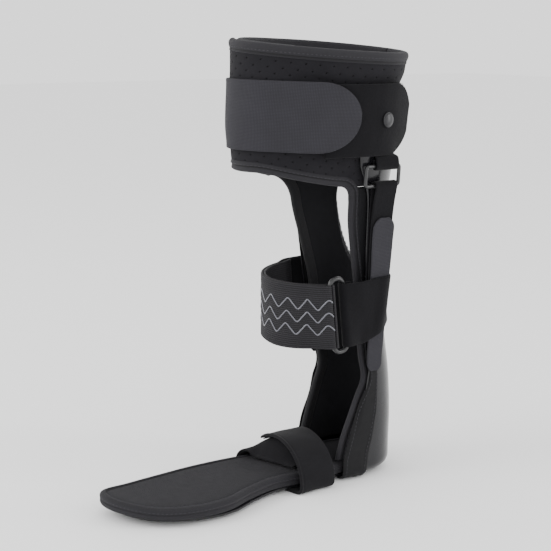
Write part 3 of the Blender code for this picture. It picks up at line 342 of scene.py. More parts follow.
class Look:
    """A Principled material and short calls that add nodes to it. Coordinates are in millimetres."""

    def __init__(self, name, colour, roughness, metallic=0.0, sheen=0.0, coat=0.0, specular=0.5, by_uv=True):
        self.material = bpy.data.materials.new(name)
        self.material.use_nodes = True
        self.tree = self.material.node_tree
        self.shader = self.tree.nodes["Principled BSDF"]
        self.shader.inputs["Metallic"].default_value = metallic
        self.shader.inputs["Roughness"].default_value = roughness
        self.shader.inputs["Base Color"].default_value = (*colour, 1.0)
        self.shader.inputs["Specular IOR Level"].default_value = specular
        self.shader.inputs["Sheen Weight"].default_value = sheen
        self.shader.inputs["Sheen Roughness"].default_value = 0.5
        self.shader.inputs["Coat Weight"].default_value = coat
        self.shader.inputs["Coat Roughness"].default_value = 0.08
        self.colour = colour
        if by_uv:
            source = self.node("ShaderNodeUVMap", uv_map="UVMap").outputs["UV"]
        else:
            source = self.node("ShaderNodeTexCoord").outputs["Object"]
        self.place = self.node("ShaderNodeVectorMath", operation="SCALE")
        self.place.inputs["Scale"].default_value = 1 / MM
        self.link(source, self.place.inputs[0])
        self.place = self.place.outputs["Vector"]
        split = self.node("ShaderNodeSeparateXYZ")
        self.link(self.place, split.inputs["Vector"])
        self.along, self.across = split.outputs["X"], split.outputs["Y"]

    def node(self, kind, **settings):
        made = self.tree.nodes.new(kind)
        for name, value in settings.items():
            setattr(made, name, value)
        return made

    def link(self, source, target):
        self.tree.links.new(source, target)

    def math(self, operation, first, second=None, third=None):
        made = self.node("ShaderNodeMath", operation=operation)
        for socket, value in zip(made.inputs, (first, second, third)):
            if value is None:
                continue
            if isinstance(value, (int, float)):
                socket.default_value = value
            else:
                self.link(value, socket)
        return made.outputs["Value"]

    def ripple(self, coordinate, period, phase=0.0):
        """A smooth wave from 0 to 1 along a coordinate."""
        turn = self.math("MULTIPLY_ADD", coordinate, math.tau / period, phase)
        return self.math("MULTIPLY_ADD", self.math("SINE", turn), 0.5, 0.5)

    def noise(self, size, detail=2.0, rough=0.55, stretch=None):
        """Noise whose blobs are about size millimetres; stretch scales the coordinates first."""
        source = self.place
        if stretch:
            scaled = self.node("ShaderNodeVectorMath", operation="MULTIPLY")
            scaled.inputs[1].default_value = stretch
            self.link(source, scaled.inputs[0])
            source = scaled.outputs["Vector"]
        made = self.node("ShaderNodeTexNoise")
        made.inputs["Scale"].default_value = 1 / size
        made.inputs["Detail"].default_value = detail
        made.inputs["Roughness"].default_value = rough
        self.link(source, made.inputs["Vector"])
        return made.outputs["Fac"]

    def cells(self, size, randomness=1.0):
        """Distance to the nearest of cells about size millimetres apart."""
        made = self.node("ShaderNodeTexVoronoi")
        made.inputs["Scale"].default_value = 1 / size
        made.inputs["Randomness"].default_value = randomness
        self.link(self.place, made.inputs["Vector"])
        return made.outputs["Distance"]

    def ramp(self, value, low, high):
        """Maps low..high to 0..1, held outside."""
        made = self.node("ShaderNodeMapRange", interpolation_type="SMOOTHSTEP")
        made.inputs["From Min"].default_value = low
        made.inputs["From Max"].default_value = high
        self.link(value, made.inputs["Value"])
        return made.outputs["Result"]

    def attribute(self, name):
        return self.node("ShaderNodeAttribute", attribute_name=name).outputs["Fac"]

    def tint(self, factor, low, high, base=None):
        """Multiplies the colour so far by low where factor is 0 and by high where it is 1."""
        dark = self.node("ShaderNodeMix", data_type="RGBA", blend_type="MULTIPLY")
        dark.inputs["Factor"].default_value = 1.0
        shade = self.node("ShaderNodeMix", data_type="RGBA")
        shade.inputs["A"].default_value = (low, low, low, 1)
        shade.inputs["B"].default_value = (high, high, high, 1)
        self.link(factor, shade.inputs["Factor"])
        if base is None:
            dark.inputs["A"].default_value = (*self.colour, 1)
        else:
            self.link(base, dark.inputs["A"])
        self.link(shade.outputs["Result"], dark.inputs["B"])
        return dark.outputs["Result"]

    def paint(self, colour):
        self.link(colour, self.shader.inputs["Base Color"])

    def rough(self, factor, low, high):
        made = self.math("MULTIPLY_ADD", factor, high - low, low)
        self.link(made, self.shader.inputs["Roughness"])

    def bump(self, *heights):
        """Adds bumps given as (height, millimetres), one on top of the other."""
        normal = None
        for height, size in heights:
            made = self.node("ShaderNodeBump")
            made.inputs["Strength"].default_value = 1.0
            made.inputs["Distance"].default_value = size * MM
            self.link(height, made.inputs["Height"])
            if normal is not None:
                self.link(normal, made.inputs["Normal"])
            normal = made.outputs["Normal"]
        self.link(normal, self.shader.inputs["Normal"])


def shell_look():
    look = Look("glossy_shell", (0.0065, 0.0063, 0.0078), 0.2, coat=0.1, specular=0.32, by_uv=False)
    smears = look.noise(22, 3.0)
    scuffs = look.ramp(look.noise(1.6, 4.0, 0.7, (1.0, 1.0, 0.12)), 0.60, 0.74)
    look.paint(look.tint(scuffs, 1.0, 2.2, look.tint(smears, 0.85, 1.2)))
    look.rough(look.math("MAXIMUM", smears, scuffs), 0.14, 0.34)
    look.bump((look.noise(9, 1.0), 0.10), (look.noise(1.1, 2.0), 0.008))
    return look.material


def padded_look(name, colour, dotted):
    """Laminated foam with a fine knitted face, perforated where it is dotted."""
    look = Look(name, colour, 0.9, sheen=0.03, specular=0.12)
    knit = look.math("MULTIPLY", look.ripple(look.along, 0.62), look.ripple(look.across, 0.46))
    mottle = look.noise(14, 3.0)
    grain = look.noise(0.5, 2.0)
    shade = look.tint(grain, 0.75, 1.25, look.tint(mottle, 0.82, 1.18))
    shade = look.tint(knit, 0.82, 1.22, shade)
    bumps = [(mottle, 0.30), (knit, 0.07), (grain, 0.05)]
    if dotted:
        # painted shade: the middle of each perforation is darkened to stand for the shade inside the hole
        hole = look.ramp(look.attribute("dots"), 0.42, 0.62)
        shade = look.tint(hole, 1.0, 0.10, shade)
        # painted highlight: the lip round each perforation is lightened
        rim = look.ramp(look.attribute("dots"), 0.05, 0.42)
        shade = look.tint(rim, 1.0, 1.25, shade)
        bumps.append((look.math("SUBTRACT", 1.0, hole), 0.5))
    look.paint(shade)
    look.rough(grain, 0.78, 0.98)
    look.bump(*bumps)
    return look.material


def tape_look(name, colour):
    """Woven binding: fine cords across the tape and a twill shimmer."""
    look = Look(name, colour, 0.8, sheen=0.03, specular=0.2)
    cords = look.ripple(look.along, 0.55)
    twill = look.ripple(look.math("ADD", look.along, look.across), 0.8)
    worn = look.noise(6, 3.0)
    shade = look.tint(cords, 0.72, 1.2, look.tint(worn, 0.82, 1.2))
    # painted shade in the sewn grooves beside the cord, read from the sunk attribute
    shade = look.tint(look.attribute("sunk"), 1.0, 0.22, shade)
    look.paint(look.tint(twill, 0.9, 1.1, shade))
    look.rough(worn, 0.62, 0.88)
    look.bump((cords, 0.10), (twill, 0.03), (look.noise(0.4), 0.04))
    return look.material


def hook_look():
    """Hook tape: close rows of tiny hooks on a woven ground."""
    look = Look("hook_tape", (0.0285, 0.0275, 0.0330), 0.75, sheen=0.02, specular=0.15)
    rows = look.math("MULTIPLY", look.ripple(look.along, 1.05), look.ripple(look.across, 0.95))
    fine = look.math("MULTIPLY", look.ripple(look.along, 0.35), look.ripple(look.across, 0.32))
    worn = look.noise(18, 4.0)
    shade = look.tint(rows, 0.78, 1.25, look.tint(worn, 0.86, 1.14))
    look.paint(look.tint(fine, 0.9, 1.12, shade))
    look.rough(rows, 0.82, 0.6)
    look.bump((rows, 0.16), (fine, 0.05), (worn, 0.25))
    return look.material


def pile_look(name, colour, depth):
    """Brushed loops: a tangle at two sizes, with a soft sheen."""
    look = Look(name, colour, 0.95, sheen=0.05, specular=0.08)
    tangle = look.noise(0.55, 3.0, 0.7)
    tufts = look.noise(1.8, 3.0, 0.65)
    nap = look.noise(9, 2.0, 0.5, (1.0, 0.5, 1.0))
    shade = look.tint(tangle, 0.45, 1.7, look.tint(nap, 0.8, 1.25))
    look.paint(look.tint(tufts, 0.75, 1.25, shade))
    look.rough(tufts, 0.85, 1.0)
    look.bump((tufts, depth), (tangle, depth * 0.7))
    return look.material


def elastic_look():
    """Ribbed elastic: ribs are in the mesh; the threads that wrap them cross it."""
    look = Look("elastic_webbing", (0.0155, 0.0147, 0.0172), 0.7, sheen=0.02, specular=0.2)
    wraps = look.ripple(look.math("ADD", look.along, look.ripple(look.across, 2 * RIB_PITCH / MM)), 0.9)
    # painted light and shade: the colour follows the mesh's ribs, lighter on their crests and darker in the valleys
    # between them
    ribs = look.ripple(look.across, RIB_PITCH / MM, math.pi / 2)
    worn = look.noise(11, 3.0)
    shade = look.tint(wraps, 0.70, 1.25, look.tint(worn, 0.85, 1.15))
    look.paint(look.tint(ribs, 0.45, 1.25, shade))
    look.rough(worn, 0.55, 0.8)
    look.bump((wraps, 0.10), (look.noise(0.35), 0.04))
    return look.material


def silicone_look():
    look = Look("silicone_line", (0.045, 0.045, 0.055), 0.2, coat=0.6)
    lumps_and_glints = look.ramp(look.noise(1.6, 2.0), 0.38, 0.62)
    # painted highlight: the lumps lighten the colour up to about three times to stand for broken glints; their bump
    # and roughness are real
    look.paint(look.tint(lumps_and_glints, 0.35, 3.2))
    look.rough(lumps_and_glints, 0.18, 0.34)
    look.bump((lumps_and_glints, 0.12))
    return look.material


def mesh_look():
    """Knitted spacer mesh: small open cells, darkened as painted shade in their pits, with the yarn between them
    lighter.
    """
    look = Look("insole_mesh", (0.0145, 0.0140, 0.0162), 0.9, sheen=0.03, specular=0.12)
    cells = look.ramp(look.cells(1.25, 0.35), 0.10, 0.55)
    yarn = look.noise(0.6, 2.0)
    mottle = look.noise(8, 4.0, 0.7)
    # painted shade: the open cells are darkened as the shade in their pits
    shade = look.tint(cells, 0.42, 1.25, look.tint(mottle, 0.78, 1.25))
    look.paint(look.tint(yarn, 0.75, 1.3, shade))
    look.rough(yarn, 0.8, 1.0)
    look.bump((cells, 0.28), (yarn, 0.10), (mottle, 0.25))
    return look.material


def enamel_look(name, colour, metallic, low, high):
    """Lacquered wire or rivet: dark, glossy, a little worn on top."""
    look = Look(name, colour, low, metallic=metallic, by_uv=False)
    worn = look.noise(2.5, 4.0, 0.7)
    look.paint(look.tint(look.ramp(worn, 0.45, 0.75), 0.9, 1.9))
    look.rough(worn, low, high)
    look.bump((look.noise(0.8, 3.0), 0.02))
    return look.material


def thread_look():
    look = Look("thread", (0.032, 0.031, 0.036), 0.6, specular=0.25, by_uv=False)
    look.paint(look.tint(look.noise(0.3), 0.6, 1.5))
    look.bump((look.noise(0.15), 0.03))
    return look.material


LOOKS = {
    "shell": shell_look(),
    "perforated": padded_look("perforated_fabric", (0.0118, 0.0112, 0.0135), True),
    "liner": padded_look("liner_fabric", (0.010, 0.010, 0.0115), False),
    "tape": tape_look("binding_tape", (0.0175, 0.0167, 0.0197)),
    # painted shade: the medial edge tape is a darker copy of the same binding tape
    "shaded_tape": tape_look("shaded_binding_tape", (0.0095, 0.0092, 0.0105)),
    "stirrup": tape_look("stirrup_tape", (0.0065, 0.0063, 0.0072)),
    "hook": hook_look(),
    "pile": pile_look("pile_fabric", (0.0052, 0.0050, 0.0060), 0.22),
    "instep": pile_look("instep_fabric", (0.0088, 0.0085, 0.0097), 0.12),
    "elastic": elastic_look(),
    "silicone": silicone_look(),
    "mesh": mesh_look(),
    "wire": enamel_look("black_wire", (0.012, 0.012, 0.013), 0.0, 0.24, 0.36),
    "rivet": enamel_look("rivet_metal", (0.012, 0.012, 0.014), 0.15, 0.28, 0.42),
    "thread": thread_look(),
}


# ---------- making pieces ----------

def link_object(name, mesh, look):
    """Puts a mesh drawn in the design frame into the scene, in the row frame."""
    mesh.materials.clear()
    mesh.materials.append(LOOKS[look])
    mesh.transform(Matrix.Translation(PLACE))
    obj = bpy.data.objects.new(name, mesh)
    bpy.context.scene.collection.objects.link(obj)
    mesh.shade_smooth()
    return obj


def hang(obj, body, slot, *nodes):
    """Puts a piece on the body it rides on, given by name, or else bakes its transform in place, and hides the CAD
    nodes it stands for; the slot is not used.
    """
    if isinstance(body, str):
        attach(obj, body)
    else:
        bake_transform(obj)
    if nodes:
        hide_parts(*nodes)
    return obj


def measured(place, along):
    """Length of the sheet through its middle, along s (True) or along t (False)."""
    steps = 60
    points = [place(k / steps, 0.5) if along else place(0.5, k / steps) for k in range(steps + 1)]
    return lengths_along(points)[-1]


def shares(length, step, edge):
    """Shares of a length about step apart, closer at both ends, where the edge is rounded."""
    count = max(round((length - 2 * edge) / step), 1)
    inner = [edge + (length - 2 * edge) * k / count for k in range(count + 1)]
    ends = [0.0, 0.10 * edge, 0.42 * edge]
    return [x / length for x in ends + inner] + [1 - x / length for x in reversed(ends)]


def evenly(place, along, wanted):
    """The values of s (along True) or t at which the sheet's middle line reaches each wanted share of its length."""
    steps = 200
    points = [place(k / steps, 0.5) if along else place(0.5, k / steps) for k in range(steps + 1)]
    marks = lengths_along(points)
    found, index = [], 0
    for share in wanted:
        reach = share * marks[-1]
        while index < steps - 1 and marks[index + 1] < reach:
            index += 1
        span = marks[index + 1] - marks[index]
        found.append(min(max((index + (reach - marks[index]) / span) / steps, 0.0), 1.0))
    return found


def grid_normal(grid, i, j):
    last_i, last_j = len(grid) - 1, len(grid[0]) - 1
    along = grid[min(i + 1, last_i)][j] - grid[max(i - 1, 0)][j]
    across = grid[i][min(j + 1, last_j)] - grid[i][max(j - 1, 0)]
    return along.cross(across).normalized()


def fabric(name, place, thickness, side, look, step=0.0015, edge=None, relief=None, dots=False, crumple=0.0,
           row_step=None):
    """A closed sheet: place(s, t) is its near face, and it grows by thickness along the normal times side.

    relief(u, v) in metres raises its far face; u runs along s, v across from the middle."""
    edge = edge or thickness / 2
    s_list = evenly(place, True, shares(measured(place, True), step, edge))
    t_list = evenly(place, False, shares(measured(place, False), row_step or step, edge))
    grid = [[place(s, t) for t in t_list] for s in s_list]
    last_i, last_j = len(s_list) - 1, len(t_list) - 1
    along = lengths_along([row[last_j // 2] for row in grid])
    shape = bmesh.new()
    uv_layer = shape.loops.layers.uv.new("UVMap")
    dot_layer = shape.verts.layers.float.new("dots")
    groove_shade_layer = shape.verts.layers.float.new("sunk")
    near, far, where = {}, {}, {}
    for i, row in enumerate(grid):
        across = lengths_along(row)
        for j, point in enumerate(row):
            inside = min(along[i], along[-1] - along[i], across[j], across[-1] - across[j])
            full = math.sqrt(max(1 - (1 - min(inside / edge, 1.0)) ** 2, 0.0))
            u, v = along[i], across[j] - across[-1] / 2
            normal = grid_normal(grid, i, j) * side
            middle = point + normal * thickness / 2
            if crumple:
                middle += normal * crumple * noise.noise(point * 70)
            rise = thickness / 2 * full
            dotted = dots and full > 0.99 and j % DOT_ROWS == 2 and i % DOT_COLUMNS == (j // DOT_ROWS % 2) * 4 + 2
            carved = relief(u, v) * full if relief else 0.0
            raised = rise + carved - (DOT_DEPTH if dotted else 0.0)
            far[i, j] = shape.verts.new(middle + normal * raised)
            border = i in (0, last_i) or j in (0, last_j)
            near[i, j] = far[i, j] if border else shape.verts.new(middle - normal * rise)
            far[i, j][dot_layer] = 1.0 if dotted else 0.0
            # painted shade: how far the relief sinks below the face, used to darken the tape's sewn grooves
            far[i, j][groove_shade_layer] = min(max(-carved / GROOVE, 0.0), 1.0)
            where[far[i, j]] = where[near[i, j]] = (u, v)
    for i in range(last_i):
        for j in range(last_j):
            corners = ((i, j), (i + 1, j), (i + 1, j + 1), (i, j + 1))
            for layer, turn in ((far, side), (near, -side)):
                face = shape.faces.new([layer[c] for c in (corners if turn > 0 else corners[::-1])])
                for loop in face.loops:
                    loop[uv_layer].uv = where[loop.vert]
    mesh = bpy.data.meshes.new(name)
    shape.to_mesh(mesh)
    shape.free()
    return link_object(name, mesh, look)


def wire(name, points, radius, look, cyclic=False, flat=1.0, up=None):
    """A round or flattened bead along points: flat squeezes it along the directions in up."""
    sides = 10
    mesh = bpy.data.meshes.new(name)
    shape = bmesh.new()
    count = len(points)
    rings = []
    frame_normal = Vector((0, 0, 1))
    for index, point in enumerate(points):
        if cyclic:
            heading = points[(index + 1) % count] - points[index - 1]
        else:
            heading = points[min(index + 1, count - 1)] - points[max(index - 1, 0)]
        heading.normalize()
        lift = up[index] if up else frame_normal
        lift = (lift - heading * lift.dot(heading)).normalized()
        frame_normal = lift
        aside = heading.cross(lift)
        ring = []
        for k in range(sides):
            turn = math.tau * k / sides
            ring.append(shape.verts.new(point + aside * radius * math.cos(turn) + lift * radius * flat * math.sin(turn)))
        rings.append(ring)
    pairs = list(zip(rings, rings[1:])) + ([(rings[-1], rings[0])] if cyclic else [])
    for before, after in pairs:
        for k in range(sides):
            shape.faces.new((before[k], before[(k + 1) % sides], after[(k + 1) % sides], after[k]))
    if not cyclic:
        shape.faces.new(rings[0][::-1])
        shape.faces.new(rings[-1])
    bmesh.ops.recalc_face_normals(shape, faces=shape.faces)
    shape.to_mesh(mesh)
    shape.free()
    return link_object(name, mesh, look)


def stitches(name, points, ups, look="thread"):
    """A row of short raised stitches along a line that lies on the fabric."""
    marks = lengths_along(points)
    mesh = bpy.data.meshes.new(name)
    shape = bmesh.new()
    count = int(marks[-1] / STITCH_PITCH)
    index = 0
    for stitch in range(count):
        middle = (stitch + 0.5) * STITCH_PITCH
        while marks[index + 1] < middle:
            index += 1
        heading = (points[index + 1] - points[index]).normalized()
        share = (middle - marks[index]) / (marks[index + 1] - marks[index])
        centre = points[index].lerp(points[index + 1], share)
        lift = ups[index]
        aside = heading.cross(lift).normalized()
        add_stitch(shape, centre, heading, aside, aside.cross(heading))
    shape.to_mesh(mesh)
    shape.free()
    return link_object(name, mesh, look)


def add_stitch(shape, centre, heading, aside, lift):
    """One stitch: a small bead, thick in the middle and sunk at both ends."""
    sides, rings = 6, []
    for reach, width, height in ((-0.5, 0.35, -0.9), (-0.3, 0.9, 0.0), (0.0, 1.0, 0.35), (0.3, 0.9, 0.0), (0.5, 0.35, -0.9)):
        middle = centre + heading * reach * STITCH_LENGTH + lift * height * STITCH_RADIUS
        rings.append([
            shape.verts.new(middle + (aside * math.cos(math.tau * k / sides) + lift * math.sin(math.tau * k / sides))
                            * STITCH_RADIUS * width)
            for k in range(sides)
        ])
    for before, after in zip(rings, rings[1:]):
        for k in range(sides):
            shape.faces.new((before[k], after[k], after[(k + 1) % sides], before[(k + 1) % sides]))
    shape.faces.new(rings[0])
    shape.faces.new(rings[-1][::-1])


def fringe(name, points, directions, length, count, seed, look="pile"):
    """Loose fibres that stand out of an edge: thin three-sided spikes, bent at random."""
    draw = random.Random(seed)
    mesh = bpy.data.meshes.new(name)
    shape = bmesh.new()
    for _ in range(count):
        at = draw.random() * (len(points) - 1)
        index = int(at)
        root = points[index].lerp(points[index + 1], at - index)
        out = directions[index].normalized()
        lean = Vector((draw.uniform(-1, 1), draw.uniform(-1, 1), draw.uniform(-1, 1))) * 0.7
        heading = (out + lean).normalized()
        reach = length * draw.uniform(0.3, 1.0)
        aside = heading.orthogonal().normalized()
        other = heading.cross(aside)
        radius = 0.00007
        base = [shape.verts.new(root - out * 0.0003 + (aside * math.cos(a) + other * math.sin(a)) * radius)
                for a in (0.0, math.tau / 3, 2 * math.tau / 3)]
        middle = root + heading * reach * 0.55 + Vector((0, 0, draw.uniform(-1, 1))) * reach * 0.15
        waist = [shape.verts.new(middle + (aside * math.cos(a) + other * math.sin(a)) * radius * 0.8)
                 for a in (0.0, math.tau / 3, 2 * math.tau / 3)]
        tip = shape.verts.new(root + heading * reach + lean * reach * 0.3)
        for k in range(3):
            after = (k + 1) % 3
            shape.faces.new((base[k], base[after], waist[after], waist[k]))
            shape.faces.new((waist[k], waist[after], tip))
        shape.faces.new(base[::-1])
    shape.to_mesh(mesh)
    shape.free()
    return link_object(name, mesh, look)


# ---------- shell ----------

def window_outline(steps):
    """A teardrop, round at the top and narrow at the bottom, as x and z."""
    outline = []
    for step in range(steps):
        turn = math.tau * step / steps
        height = math.cos(turn)
        reach = (WINDOW_HIGH - WINDOW_WIDE_AT) if height > 0 else (WINDOW_WIDE_AT - WINDOW_LOW)
        narrow = 1.0 if height > 0 else 1.0 + 0.25 * height
        outline.append((WINDOW_HALF_WIDTH * math.sin(turn) * narrow, WINDOW_WIDE_AT + reach * height))
    return outline


def make_window_cutter():
    """Widens away from the leg's axis, so that its wall crosses the shell squarely."""
    shape = bmesh.new()
    rings = []
    for y in (0.0220, 0.0750):
        widen = (y - WINDOW_AXIS_Y) / (WINDOW_FACE_Y - WINDOW_AXIS_Y)
        rings.append([shape.verts.new((x * widen, y, z)) for x, z in window_outline(72)])
    for k, corner in enumerate(rings[0]):
        after = (k + 1) % len(rings[0])
        shape.faces.new((corner, rings[0][after], rings[1][after], rings[1][k]))
    shape.faces.new(rings[0])
    shape.faces.new(rings[1])
    bmesh.ops.recalc_face_normals(shape, faces=shape.faces)
    mesh = bpy.data.meshes.new("window_cutter")
    shape.to_mesh(mesh)
    shape.free()
    return link_object("window_cutter", mesh, "shell")


def combine(obj, operation, other):
    """Applies a Boolean between two closed meshes and keeps the result on obj."""
    boolean = obj.modifiers.new("combine", "BOOLEAN")
    boolean.operation = operation
    boolean.object = other
    bpy.context.view_layer.update()
    graph = bpy.context.evaluated_depsgraph_get()
    made = bpy.data.meshes.new_from_object(obj.evaluated_get(graph), depsgraph=graph)
    obj.modifiers.clear()
    obj.data = made
    made.shade_smooth()
    made.set_sharp_from_angle(angle=math.radians(50))


def offset_outline(points, inset):
    moved = []
    for index, point in enumerate(points):
        along = points[(index + 1) % len(points)] - points[index - 1]
        moved.append(point + Vector((along.y, -along.x)).normalized() * inset)
    return moved


def foot_outline(inset, shorter=0.0):
    """The insole's edge, drawn in by inset and shortened at the toe."""
    heel = FOOT_OUTLINE[0][1]
    length = heel - min(y for x, y in FOOT_OUTLINE)
    drawn = [Vector((x, heel + (y - heel) * (1 - shorter / length))) for x, y in FOOT_OUTLINE]
    return offset_outline(spline_points(drawn, 8, closed=True), inset)


def toe_lift(y):
    """How far the sole curls up towards the tip of its toe."""
    tip = min(y for x, y in FOOT_OUTLINE)
    return TOE_SPRING * ease(0.0, 1.6 * TOE_LENGTH, tip + TOE_LENGTH - y)


def lofted(name, rings, look, closed=True, curl=True):
    """A closed form through rings of (inset, z) round the foot's outline, capped flat where closed."""
    shape = bmesh.new()
    uv_layer = shape.loops.layers.uv.new("UVMap")
    loops, where = [], {}
    for index, (inset, z, shorter) in enumerate(rings):
        outline = foot_outline(inset, shorter)
        marks = lengths_along(outline + [outline[0]])
        loop = []
        for point, mark in zip(outline, marks):
            vert = shape.verts.new((point.x, point.y, z + (toe_lift(point.y) if curl else 0.0)))
            where[vert] = (mark, index * MM) if not closed else (point.x, point.y)
            loop.append(vert)
        loops.append(loop)
    pairs = list(zip(loops, loops[1:])) + ([] if closed else [(loops[-1], loops[0])])
    count = len(loops[0])
    for before, after in pairs:
        for k in range(count):
            shape.faces.new((before[k], before[(k + 1) % count], after[(k + 1) % count], after[k]))
    if closed:
        shape.faces.new(loops[0][::-1])
        shape.faces.new(loops[-1])
        bmesh.ops.triangulate(shape, faces=[f for f in shape.faces if len(f.verts) > 4])
    for face in shape.faces:
        for loop in face.loops:
            loop[uv_layer].uv = where[loop.vert]
    bmesh.ops.recalc_face_normals(shape, faces=shape.faces)
    mesh = bpy.data.meshes.new(name)
    shape.to_mesh(mesh)
    shape.free()
    return link_object(name, mesh, look)


def shell_row(share):
    """Height and inset of the upright at a share of its way up, the rounding under the heel first."""
    flange, turn = HEEL_FLANGE, HEEL_ROUNDING * math.pi / 2
    reach = share * (flange + turn + SHELL_TOP - HEEL_ROUNDING)
    if reach < flange:
        return FLANGE_LIFT, HEEL_ROUNDING + flange - reach
    if reach < flange + turn:
        angle = (reach - flange) / HEEL_ROUNDING
        return FLANGE_LIFT + HEEL_ROUNDING * (1 - math.cos(angle)), HEEL_ROUNDING * (1 - math.sin(angle))
    return HEEL_ROUNDING + reach - flange - turn, 0.0


def make_shell(window):
    """The upright round the heel and calf, joined to the flat foot plate."""

    def place(s, t):
        z, inset = shell_row(t)
        reach = phi_at(through(SHELL_FRONT, z), z)
        return on_leg(mix(-reach, reach, s), z, -inset)

    shell = fabric("shell_body", place, SHELL_THICKNESS, 1, "shell", step=0.0026, edge=0.0009, row_step=0.0030)
    combine(shell, "DIFFERENCE", window)
    plate = lofted("plate", [(PLATE_INSET + 0.0008, 0.0, PLATE_SHORTER), (PLATE_INSET, 0.0006, PLATE_SHORTER),
                             (PLATE_INSET, PLATE_THICKNESS - 0.0006, PLATE_SHORTER),
                             (PLATE_INSET + 0.0008, PLATE_THICKNESS, PLATE_SHORTER)], "shell", curl=False)
    combine(shell, "UNION", plate)
    bpy.data.objects.remove(plate)
    hang(shell, "brace", "shell_plastic", "shell")


# ---------- insole ----------

def make_insole():
    """A mesh-faced foam sole with a bound edge and two rows of stitches."""
    high = INSOLE_TOP
    binding = 0.0046
    insole = lofted("insole_pad", [(0.0010, INSOLE_BOTTOM, 0), (0.0010, high - 0.0014, 0), (0.0022, high - 0.0006, 0),
                                   (binding, high - 0.0006, 0), (0.0068, high - 0.0001, 0), (0.0100, high, 0),
                                   (0.0135, high + 0.0001, 0)], "mesh")
    hang(insole, "brace", "insole_mesh", "insole")
    profile = [(binding, high - 0.0012), (binding, high - 0.0001), (0.0034, high + 0.0003), (0.0018, high),
               (0.0006, high - 0.0009), (0.0000, high - 0.0022), (0.0001, 0.0072), (0.0005, 0.0068),
               (0.0001, 0.0064), (0.0000, 0.0046), (0.0006, 0.0034), (0.0016, 0.0030), (0.0030, 0.0030),
               (0.0030, 0.0040), (0.0030, high - 0.0016)]
    band = lofted("insole_edge_binding", [(inset, z, 0) for inset, z in profile], "tape", closed=False)
    hang(band, "brace", "binding_tape", "insole_binding")
    for name, inset, z, up in (("insole_top_stitches", 0.0036, high + 0.0004, Vector((0, 0, 1))),
                               ("insole_side_stitches", 0.0001, 0.0082, None)):
        edge = [Vector((p.x, p.y, z + toe_lift(p.y))) for p in foot_outline(inset)]
        edge.append(edge[0])
        ups = [up or Vector((p.x, p.y + 0.06, 0)).normalized() for p in edge]
        hang(stitches(name, edge, ups), "brace", "binding_tape")


# ---------- cuff, liner and the tape round their edges ----------

def cuff_top(phi):
    point = on_leg(phi, CUFF_TOP)
    return CUFF_TOP + CUFF_TOP_TILT[0] * point.x + CUFF_TOP_TILT[1] * (point.y - CUFF_MIDDLE_Y)


def cuff_bottom(phi):
    return mix(CUFF_BOTTOM_SIDE, CUFF_BOTTOM_FRONT, ease(95, 165, turn_from_back(phi)))


def turn_from_back(phi):
    return abs((phi + 180) % 360 - 180)


def swell(phi, z):
    """How far the cuff stands out where no shell is behind it: in front, and above the shell's top."""
    return PAD_SWELL * max(ease(105, 135, turn_from_back(phi)), ease(SHELL_TOP, SHELL_TOP + 0.012, z))


def cuff_lap(phi):
    """The inner flap steps inwards before the outer flap reaches it."""
    return FLAP_LAP * ease(-INNER_FLAP_HINGE, -INNER_FLAP_HINGE + 40, -phi)


def hinge_blend(phi, body, spread=9):
    """The two bodies of a flap and the points between which its fabric bends."""
    start = on_leg(phi - math.copysign(spread, phi), CALF_STRAP_MIDDLE, PAD_OUT) + PLACE
    end = on_leg(phi + math.copysign(spread, phi), CALF_STRAP_MIDDLE, PAD_OUT) + PLACE
    return ("brace", body, start, end)


def tape_relief(rise):
    """The tape's face: a raised cord on the side next to the fabric, a groove, then a soft crown."""

    def relief(u, v):
        return (rise * ridge(v, -0.0035, 0.0009) - GROOVE * ridge(v, -0.0022, 0.0008)
                - GROOVE * ridge(v, -0.0045, 0.0006) + rise * ridge(v, 0.0012, 0.0034))

    return relief


def make_cuff_side(word, side, end, body, hinge, nodes):
    """Half of the cuff, from its seam at the back to its free end in front."""
    crown = 0.0006

    def pad(s, t):
        phi = mix(0.0, end, s)
        taped = ease(CORNER_PHI - 12, CORNER_PHI, turn_from_back(phi))
        z = mix(cuff_bottom(phi) + 0.4 * TAPE_HEIGHT * taped, cuff_top(phi) - 0.6 * TAPE_HEIGHT, t)
        return on_leg(phi, z, PAD_OUT - cuff_lap(phi) + swell(phi, z))

    def pad_relief(u, v):
        return crown * (1 - ease(0.0, 0.036, abs(v))) - 0.0003

    def top(s, t):
        phi = mix(0.0, end, s)
        z = cuff_top(phi) + mix(-TAPE_HEIGHT, 0.0, t)
        return on_leg(phi, z, PAD_OUT - cuff_lap(phi) - TAPE_PROUD / 2 + swell(phi, z))

    bend = hinge_blend(hinge, body)
    turn = -side
    shown = fabric(word + "_cuff_pad", pad, PAD_THICKNESS, turn, "perforated", step=CELL, edge=0.0016,
                   relief=pad_relief, dots=True, crumple=0.0003)
    hang(shown, bend, "cuff_fabric", *nodes["pad"])
    tape = fabric(word + "_cuff_top_tape", top, PAD_THICKNESS + TAPE_PROUD, turn, "tape", step=0.0022,
                  edge=0.0020, relief=tape_relief(0.0005), row_step=0.0005)
    hang(tape, bend, "binding_tape", *nodes["top"])
    edge, ups = [], []
    for k in range(161):
        phi = mix(0.0, end, k / 160)
        out = PAD_OUT - cuff_lap(phi) + PAD_THICKNESS + TAPE_PROUD / 2 + 0.0003 + swell(phi, cuff_top(phi))
        edge.append(on_leg(phi, cuff_top(phi) - 0.0049, out))
        ups.append(outward(phi, cuff_top(phi)))
    hang(stitches(word + "_cuff_top_stitches", edge, ups), bend, "binding_tape")


